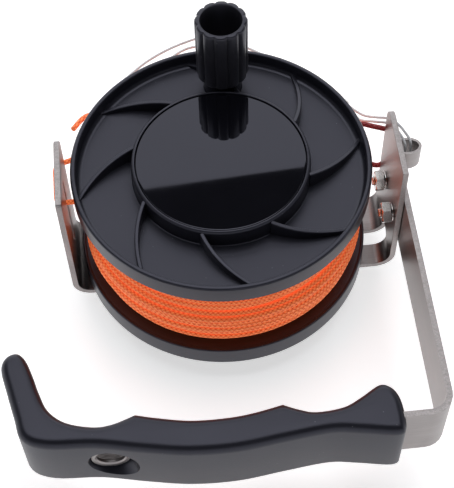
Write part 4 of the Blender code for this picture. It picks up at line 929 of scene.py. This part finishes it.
def floor_height(radius):
    """Height of the dished floor of the front flange at a radius."""
    share = (radius - BOSS_RADIUS) / (RIM_INNER - BOSS_RADIUS)
    return CUP_FLOOR + FLOOR_OVER_CUP + FLOOR_RISE * share


class REEL_OT_front_flange(ReelOperator):
    """Turns the dished front flange and sets its spiral ribs and knob boss"""

    bl_idname = "reel.front_flange"
    bl_label = "Front flange"

    def execute(self, context):
        r, top = SPOOL_RADIUS, SPOOL_TOP
        lip_inner, cup = BOSS_RADIUS - 0.0015, BOSS_RADIUS - 0.0033
        seat = top - 0.0005
        rim_foot = top - FRONT_RIM_HEIGHT
        bore, bend = 0.012, 0.0024
        rim_fillet = []
        for i in range(6):
            lean = pi / 10 * i
            rim_fillet.append((
                RIM_INNER - bend * (1 - cos(lean)),
                floor_height(RIM_INNER - bend) + bend * (1 - sin(lean)),
            ))
        profile = [
            (bore, FRONT_UNDERSIDE), (BOSS_RADIUS, FRONT_UNDERSIDE),
            (r - 0.0005, rim_foot),
            (r, rim_foot + 0.0005), (r, top - 0.0009),
            (r - 0.0003, top - 0.0003), (r - 0.0009, top),
            (RIM_INNER + 0.0004, top), (RIM_INNER, top - 0.0004),
            *rim_fillet, (BOSS_RADIUS + 0.0003, floor_height(BOSS_RADIUS)),
            (BOSS_RADIUS, floor_height(BOSS_RADIUS) + 0.0003),
            (BOSS_RADIUS, BOSS_TOP - 0.0014), (BOSS_RADIUS - 0.0002, BOSS_TOP - 0.0007),
            (BOSS_RADIUS - 0.0006, BOSS_TOP - 0.0002), (BOSS_RADIUS - 0.0010, BOSS_TOP),
            (lip_inner, BOSS_TOP), (lip_inner, seat), (cup, seat), (cup, CUP_FLOOR),
            (bore, CUP_FLOOR), (bore, FRONT_UNDERSIDE),
        ]
        flange = soften(turned("dished_flange", profile, 192), 0.00022)
        mould(flange, "front_flange")
        foot, crest = floor_height(KNOB_REACH), 0.0726
        boss = turned("knob_boss", [
            (0.0, foot - 0.0006), (0.0090, foot - 0.0006), (0.0082, foot + 0.0008),
            (0.0082, crest), (0.0, crest),
        ], 64)
        mould(put(soften(boss, 0.0003), polar(KNOB_REACH, KNOB_DEGREES)))
        self.ribs()
        return {"FINISHED"}

    def ribs(self):
        """One rib from the boss to the rim, then turned copies of it."""
        steps, sweep, start = 14, 26.5, 342.4
        inner, outer = BOSS_RADIUS - GAP, RIM_INNER + GAP
        sides = ([], [])
        for i in range(steps + 1):
            share = i / steps
            radius = inner + (outer - inner) * share
            along = polar(radius, start + sweep * share)
            lean = radians(sweep) * radius / (outer - inner)
            across = Vector((-along.y, along.x, 0)).normalized()
            heading = along.normalized() + across * lean
            aside = Vector((-heading.y, heading.x, 0)).normalized() * sizes().rib_width / 2
            for side, sign in zip(sides, (1, -1)):
                side.append(along + aside * sign)
        outline = [(p.x, p.y) for p in sides[0] + sides[1][::-1]]
        low, crest = CUP_FLOOR - 0.0003, SPOOL_TOP + 0.0006
        rib = pulled("spiral_rib_1", outline, low, crest)
        pick(rib)
        rim_crest = floor_height(RIM_INNER) + 0.0012
        for i in range(steps + 1):
            share = i / steps
            radius = inner + (outer - inner) * i / steps
            drop = (rim_crest - crest) * share
            rise = max(0.0, floor_height(radius) - 0.0005 - low)
            for level, move in ((crest, drop), (low, rise)):
                for vert in rib.data.vertices:
                    flat = hypot(vert.co.x, vert.co.y)
                    vert.select = abs(vert.co.z - level) < 1e-6 and abs(flat - radius) < 0.0007
                if move:
                    self.lift(rib, move)
        soften(rib, 0.0005, 3, 40)
        mould(rib)
        count = sizes().rib_count
        for i in range(1, count):
            twin = copy_of(rib, f"spiral_rib_{i + 1}")
            mould(put(twin, (0, 0, 0), Matrix.Rotation(tau * i / count, 4, "Z")))

    def lift(self, obj, move):
        """Moves the selected points up or down in edit mode."""
        unselect(*obj.data.edges, *obj.data.polygons)
        bpy.ops.object.mode_set(mode="EDIT")
        bpy.ops.transform.translate(value=(0, 0, move))
        bpy.ops.object.mode_set(mode="OBJECT")


class REEL_OT_spool_body(ReelOperator):
    """Turns the back flange, barrel and hub, and cuts the ratchet teeth under them"""

    bl_idname = "reel.spool_body"
    bl_label = "Spool body"

    def execute(self, context):
        top = BACK_INNER_FACE + 0.0006
        r = SPOOL_RADIUS
        barrel_top = FRONT_UNDERSIDE - GAP
        profile = [
            (HUB_BORE, HUB_FOOT), (HUB_RADIUS, HUB_FOOT), (HUB_RADIUS, BACK_UNDERSIDE),
            (RIM_INNER, BACK_UNDERSIDE), (RIM_INNER + 0.0006, SPOOL_FOOT),
            (r - 0.0006, SPOOL_FOOT), (r, SPOOL_FOOT + 0.0006), (r, top - 0.0006),
            (r - 0.0003, top), (r - 0.0010, top),
            (r - 0.0014, BACK_INNER_FACE), (BARREL_RADIUS, BACK_INNER_FACE),
            (BARREL_RADIUS, barrel_top), (BARREL_INNER_RADIUS, barrel_top),
            (BARREL_INNER_RADIUS, BACK_INNER_FACE + SHEET), (HUB_RADIUS, BACK_INNER_FACE + SHEET),
            (HUB_RADIUS, HUB_TOP), (HUB_BORE, HUB_TOP), (HUB_BORE, HUB_FOOT),
        ]
        body = soften(turned("spool_moulding", profile, 192), 0.00022)
        mould(body, "spool_body")
        count, start = 24, 153
        pitch = 360 / count
        valley, tip, bore = 0.0290, 0.0313, 0.0265
        outline = []
        for i in range(count):
            middle = start + pitch * (i + 0.5)
            for radius, share in ((valley, -0.27), (tip, -0.15), (tip, 0.15), (valley, 0.27)):
                spot = polar(radius, middle + pitch * share)
                outline.append((spot.x, spot.y))
        teeth = pulled("ratchet_teeth", outline, SPOOL_FOOT + GAP, BACK_UNDERSIDE + GAP)
        cut(teeth, turned("ratchet_bore", [
            (0, 0.0), (bore, 0.0), (bore, 0.030), (0, 0.030)], 72))
        mould(soften(teeth, 0.0002))
        return {"FINISHED"}


class REEL_OT_label(ReelOperator):
    """Turns the blank gloss label that sits in the boss"""

    bl_idname = "reel.label"
    bl_label = "Label disc"

    def execute(self, context):
        foot, r = SPOOL_TOP - 0.0002, 0.0360
        profile = [
            (0, foot), (r, foot), (r, foot + 0.0009), (r - 0.0003, foot + 0.0012),
            (r - 0.0009, foot + 0.0012), (0, foot + 0.0012),
        ]
        label = soften(turned("blank_label", profile, 192), 0.0001)
        dress(label, "spool", "lacquered_label", "gloss_label", "label_disc")
        return {"FINISHED"}


class REEL_OT_knob(ReelOperator):
    """Turns the hollow crank knob and presses its ridges in, with washer and screw inside"""

    bl_idname = "reel.knob"
    bl_label = "Crank knob"

    def execute(self, context):
        foot, top, floor = 0.0753, 0.1073, 0.0820
        r, bore, hole = 0.0113, 0.0087, 0.0023
        profile = [
            (hole, 0.0729), (0.0082, 0.0729), (0.0082, foot - 0.0014), (r - 0.0014, foot - 0.0006),
            (r - 0.0003, foot + 0.0004), (r, foot + 0.0012), (r, top - 0.0009),
            (r - 0.0003, top - 0.0003), (r - 0.0008, top), (bore + 0.0004, top),
            (bore, top - 0.0005), (bore - 0.0003, floor + 0.0012), (bore - 0.0012, floor),
            (hole, floor), (hole, 0.0723),
        ]
        lobes = sizes().knob_lobes
        per_lobe = 12
        knob = turned("fluted_knob", profile, lobes * per_lobe)
        pick(knob)
        for k in range(per_lobe // 2):
            angle = pi * k / per_lobe
            press = 1 - 0.00085 * (1 - abs(sin(angle))) ** 2 / r
            for vert in knob.data.vertices:
                turn = atan2(vert.co.y, vert.co.x) / tau * lobes * per_lobe
                place = (round(turn) + per_lobe // 2) % per_lobe
                flat = hypot(vert.co.x, vert.co.y)
                wall = flat > bore + 0.0006 and vert.co.z > foot - 0.0002
                vert.select = wall and min(place, per_lobe - place) == k
            unselect(*knob.data.edges, *knob.data.polygons)
            bpy.ops.object.mode_set(mode="EDIT")
            bpy.ops.transform.resize(value=(press, press, 1), center_override=(0, 0, 0))
            bpy.ops.object.mode_set(mode="OBJECT")
        spot = polar(KNOB_REACH, KNOB_DEGREES)
        put(smooth(knob, 50), spot, rotation(-6.4))
        dress(knob, "knob", "knob_plastic", "black_plastic", "crank_knob")
        screw = turned("knob_pan_screw", [
            (0, 0.0602), (0.002, 0.0602), (0.002, 0.0834), (0.0040, 0.0834), (0.0040, 0.0848),
            (0.0034, 0.0856), (0.0018, 0.0859), (0.0015, 0.0858), (0.0012, 0.0846), (0, 0.0846),
        ], 48)
        fasten(put(soften(screw, 0.00015), spot), "spool", "knob_screw")
        washer = refined("knob_washer", "knob_floor_washer", 0.00012)
        fasten(washer, "knob", "knob_washer")
        return {"FINISHED"}


class REEL_OT_sheet_metal(ReelOperator):
    """Finishes the bent bracket and the hand strap, with brighter sheared edges"""

    bl_idname = "reel.sheet_metal"
    bl_label = "Bracket and strap"

    def execute(self, context):
        bracket = refined("frame_bracket", "bent_bracket", sizes().edge_break, 40)
        dress(bracket, "frame", "bracket_sheet", "stainless_sheet", "frame_bracket")
        second_look(bracket, "sheared_edge", lambda face: (
            abs(face.normal.y) > 0.9 or (face.normal.z > 0.9 and face.center.z > SPOOL_TOP)))
        strap = refined("hand_strap", "bent_strap", sizes().edge_break, 40)
        dress(strap, "frame", "strap_sheet", "stainless_sheet", "hand_strap")
        second_look(strap, "sheared_edge", lambda face: abs(face.normal.z) > 0.9)
        return {"FINISHED"}


class REEL_OT_grip(ReelOperator):
    """Moulds the finger grip, with its strap pocket and the flared mouth of the eyelet"""

    bl_idname = "reel.grip"
    bl_label = "Grip"

    def execute(self, context):
        corners = [
            Vector((GRIP_LEFT_X + GRIP_LENGTH * u, GRIP_FRONT_Y + GRIP_REACH * v, 0))
            for u, v in GRIP_OUTLINE
        ]
        points = smooth_route(corners, 5, closed=True, cusps=GRIP_CUSPS)
        low = STRAP_MIDDLE - GRIP_THICKNESS / 2
        bend, steps = sizes().grip_rounding, 7
        grip = pulled(
            "moulded_grip", [(p.x, p.y) for p in points], low + bend,
            low + GRIP_THICKNESS - bend,
        )
        for up in (1, -1):
            pick(grip)
            unselect(*grip.data.vertices, *grip.data.edges)
            for face in grip.data.polygons:
                face.select = face.normal.z * up > 0.9
            bpy.context.tool_settings.mesh_select_mode = (False, False, True)
            bpy.ops.object.mode_set(mode="EDIT")
            for i in range(steps):
                lean, after = (pi / 2 * k / steps for k in (i, i + 1))
                bpy.ops.mesh.inset(
                    thickness=bend * (cos(lean) - cos(after)),
                    depth=bend * (sin(after) - sin(lean)),
                )
                bpy.ops.mesh.remove_doubles(threshold=0.0005)
            bpy.context.tool_settings.mesh_select_mode = (True, False, False)
            bpy.ops.object.mode_set(mode="OBJECT")
        left, right = -0.0383, 0.064
        near, far = STRAP_FRONT_Y - GAP, STRAP_FRONT_Y + 0.0027
        cut(grip, pulled("strap_pocket", [
            (left, near), (right, near), (right, far), (left, far)], 0.0262, 0.0568))
        mouth = turned("eyelet_mouth", [
            (0, -0.0102), (0.0109, -0.0102), (0.0109, -0.0067), (0.0086, -0.0044),
            (0.0071, -0.0032), (0.0071, -0.0006), (0.0082, -0.0006), (0.0082, 0.0010),
            (0.0085, 0.0020), (0.0094, 0.0034), (0.0109, 0.0060), (0.0109, 0.0140), (0, 0.0140),
        ], 72)
        cut(grip, put(mouth, EYELET_PLACE, rotation(90, "X")))
        smooth(grip, 34)
        dress(grip, "frame", "grained_grip", "grip_plastic", "hand_grip")
        return {"FINISHED"}


class REEL_OT_eyelet(ReelOperator):
    """Turns the flanged lanyard eyelet and the two screws in the finger grooves"""

    bl_idname = "reel.eyelet"
    bl_label = "Eyelet and grip screws"

    def execute(self, context):
        inner, outer, length = 0.0056, 0.0068, 0.0035
        profile = [(inner + 0.0006, 0.0013), (inner, 0.0008)]
        for i in range(5):
            level = -0.0002 - i * 0.0006
            profile += [(inner - 0.0001, level), (inner + 0.0003, level - 0.0003)]
        profile += [
            (inner, -length), (outer, -length), (outer, GAP), (0.0079, GAP), (0.0079, 0.0009),
            (0.0076, 0.0013), (inner + 0.0006, 0.0013),
        ]
        eyelet = smooth(turned("threaded_eyelet", profile, 72), 24)
        put(eyelet, EYELET_PLACE, rotation(90, "X"))
        dress(eyelet, "frame", "bracket_sheet", "bright_fasteners", "lanyard_eyelet")
        for i in (1, 2):
            screw = refined(f"grip_screw_{i}", f"groove_screw_{i}", 0.0001)
            fasten(screw, "frame", f"grip_screw_{i}")
        return {"FINISHED"}


def hex_nut(name, flats, height, bore):
    """A hexagon pulled up, its corners turned off to a chamfer and its bore threaded."""
    reach = flats / sqrt(3)
    outline = [tuple(polar(reach, 60 * i + 30)[:2]) for i in range(6)]
    nut = pulled(name, outline, 0.0, height)
    cone = turned(name + "_cone", [
        (0, -GAP), (flats * 0.48, -GAP), (flats * 0.48, 0.0), (reach * 1.02, height * 0.12),
        (reach * 1.02, height * 0.88), (flats * 0.48, height), (flats * 0.48, height + GAP),
        (0, height + GAP),
    ], 72)
    modify(nut, "BOOLEAN", object=cone, operation="INTERSECT", solver="EXACT")
    bpy.data.objects.remove(cone)
    hole = turned(name + "_hole", [
        (0, -GAP), (bore * 1.16, -GAP), (bore, height * 0.1), (bore, height * 0.9),
        (bore * 1.16, height + GAP), (0, height + GAP),
    ], 48)
    return smooth(cut(nut, hole), 25)


class REEL_OT_fasteners(ReelOperator):
    """Makes the domed strap bolts, their washers and nuts, and the axle's nut"""

    bl_idname = "reel.fasteners"
    bl_label = "Bolts, nuts and washers"

    def execute(self, context):
        seat = STRAP_OUTER_X + GAP - BOLT_TAIL_X
        profile = [(0, 0), (0.0015, 0.0)]
        level = 0.0002
        while level < 0.0062:
            profile += [(0.00195, level + 0.00015), (0.0017, level + 0.00045)]
            level += 0.0006
        profile += [
            (0.0019, level), (0.0019, seat), (0.0038, seat), (0.0038, seat + 0.0006),
            (0.0034, seat + 0.0014), (0.0026, seat + 0.0021), (0.0018, seat + 0.0024),
            (0.0016, seat + 0.0023), (0.0013, seat + 0.0010), (0, seat + 0.0010),
        ]
        bolt = smooth(turned("domed_bolt_rear", profile, 48), 30)
        nut = hex_nut("hex_nut_rear", 0.0085, 0.0040, 0.0021)
        bolts = (bolt, copy_of(bolt, "domed_bolt_front"))
        nuts = (nut, copy_of(nut, "hex_nut_front"))
        for (end, y), bolt, nut in zip(BOLT_PLACES, bolts, nuts):
            put(bolt, (BOLT_TAIL_X, y, STRAP_MIDDLE), rotation(90, "Y"))
            put(nut, (BOLT_TAIL_X + 0.0012, y, STRAP_MIDDLE), rotation(90, "Y"))
            fasten(bolt, "frame", "strap_bolt_" + end)
            fasten(nut, "frame", "strap_nut_" + end)
            washer = refined("strap_washer_" + end, "flat_washer_" + end, 0.00012)
            fasten(washer, "frame", "strap_washer_" + end)
        nut = put(hex_nut("axle_hex_nut", 0.013, 0.005, 0.0042), (0, 0, 0.001))
        fasten(nut, "frame", "axle_nut")
        fasten(refined("axle_bolt", "axle_hex_bolt", 0.0003), "frame", "axle_bolt")
        for node, body in (
            ("base_washer", "frame"), ("thrust_washer", "frame"), ("head_washer", "frame"),
            ("flange_screw_1", "spool"), ("flange_screw_2", "spool"), ("flange_screw_3", "spool"),
        ):
            fasten(refined(node, node + "_finished", 0.00012), body, node)
        dress_nodes("bush_plastic", "back_bush", "front_bush")
        return {"FINISHED"}


class REEL_OT_lever(ReelOperator):
    """Finishes the three-way lever with its button, stud, spacer, nut and pawl"""

    bl_idname = "reel.lever"
    bl_label = "Lever and pawl"

    def execute(self, context):
        for node, name in (("mode_lever", "lever_arm"), ("pawl", "hooked_pawl")):
            piece = refined(node, name, sizes().edge_break)
            dress(piece, "lever", "bracket_sheet", "stainless_sheet", node)
            second_look(piece, "sheared_edge", lambda face: abs(face.normal.z) < 0.3)
        low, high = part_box("lever_nut")
        nut = hex_nut("lever_hex_nut", 0.008, 0.003, 0.0027)
        put(nut, ((low.x + high.x) / 2, (low.y + high.y) / 2, low.z))
        fasten(nut, "lever", "lever_nut")
        fasten(refined("pivot_stud", "lever_stud", 0.0002), "lever", "pivot_stud")
        dress_nodes("bright_steel", "pawl_spacer")
        low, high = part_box("lever_button")
        r = (high.x - low.x) / 2
        seat = low.z + 0.0023
        profile = [(0, low.z), (0.0015, low.z), (0.0015, seat), (r, seat)]
        for i in range(5):
            level = seat + 0.0008 + i * 0.0010
            profile += [(r, level), (r - 0.0004, level + 0.0003), (r - 0.0004, level + 0.0006),
                        (r, level + 0.0009)]
        profile += [(r - 0.0008, high.z - 0.0004), (r - 0.0020, high.z), (0, high.z)]
        button = soften(turned("ribbed_button", profile, 64), 0.00012)
        put(button, ((low.x + high.x) / 2, (low.y + high.y) / 2, 0))
        dress(button, "lever", "spool_plastic", "black_plastic", "lever_button")
        return {"FINISHED"}


class REEL_OT_stage(ReelOperator):
    """Lays the pale floor and sets the soft white light"""

    bl_idname = "reel.stage"
    bl_label = "Stage"

    def execute(self, context):
        stage = context.scene.reel_stage
        deselect()
        bpy.ops.mesh.primitive_plane_add(size=4.0, location=(0, 0, CAD_BOX[0].z - 0.0005))
        floor = bpy.context.object
        floor.name = floor.data.name = "floor"
        bpy.ops.object.transform_apply(location=True, rotation=False, scale=False)
        floor.data.materials.append(finish("pale_floor"))
        room = Room("studio_room")
        direction = room.node("ShaderNodeTexCoord", out="Generated")
        height = room.node("ShaderNodeSeparateXYZ", None, {0: direction}, out="Z")
        glow = stage.walls - height.between(0.04, 0.52) * (stage.walls - stage.ceiling)
        room.feed(room.background.inputs["Color"], ROOM_TINT)
        room.feed(room.background.inputs["Strength"], glow)
        context.scene.world = room.world
        for name, power, wide, tall, place, aim, roll in (
            ("back_softbox", stage.softbox, 1.9, 0.95, (0.0, 1.05, 0.76), (0, 0, 0.07), 3.0),
            ("front_fill", stage.fill, 2.4, 0.8, (0.15, -1.6, 0.55), (0, -0.02, 0.04), 0.0),
            ("overhead", stage.overhead, 1.6, 1.05, (0.0, 0.34, 1.5), (0, 0.34, 0.04), 0.0),
        ):
            data = bpy.data.lights.new(name, "AREA")
            data.energy = power
            data.shape = "RECTANGLE"
            data.size, data.size_y = wide, tall
            data.color = LAMP_TINT
            lamp = added(name, data)
            away = (Vector(place) - Vector(aim)).normalized()
            above = away.cross(Vector((1.0, 0.0, 0.0))).normalized()
            stand = Matrix((above.cross(away), above, away)).transposed().to_4x4()
            lamp.matrix_world = Matrix.Translation(place) @ stand @ rotation(roll)
        context.scene.view_settings.view_transform = "Standard"
        return {"FINISHED"}


STEPS = (
    REEL_OT_camera, REEL_OT_loose_line, REEL_OT_wire, REEL_OT_winding, REEL_OT_front_flange,
    REEL_OT_spool_body, REEL_OT_label, REEL_OT_knob, REEL_OT_sheet_metal, REEL_OT_grip,
    REEL_OT_eyelet, REEL_OT_fasteners, REEL_OT_lever, REEL_OT_stage,
)


class REEL_PT_panel(bpy.types.Panel):
    """Sizes, colours and steps of the dive reel"""

    bl_idname = "REEL_PT_panel"
    bl_label = "Dive Reel"
    bl_space_type = "VIEW_3D"
    bl_region_type = "UI"
    bl_category = "Dive Reel"

    def draw(self, context):
        column = self.layout.column(align=True)
        for group in ("reel_sizes", "reel_colours", "reel_stage"):
            values = getattr(context.scene, group)
            for key in values.__annotations__:
                column.prop(values, key)
        for step in STEPS:
            column.operator(step.bl_idname, text=step.bl_label)


GROUPS = (("reel_sizes", ReelSizes), ("reel_colours", ReelColours), ("reel_stage", ReelStage))


def register():
    for name, group in GROUPS:
        bpy.utils.register_class(group)
        setattr(bpy.types.Scene, name, PointerProperty(type=group))
    for step in STEPS:
        bpy.utils.register_class(step)
    bpy.utils.register_class(REEL_PT_panel)


def unregister():
    bpy.utils.unregister_class(REEL_PT_panel)
    for step in reversed(STEPS):
        bpy.utils.unregister_class(step)
    for name, group in reversed(GROUPS):
        delattr(bpy.types.Scene, name)
        bpy.utils.unregister_class(group)


def main():
    register()
    for step in STEPS:
        group, name = step.bl_idname.split(".")
        getattr(getattr(bpy.ops, group), name)()
    deselect()


if __name__ == "__main__":
    main()
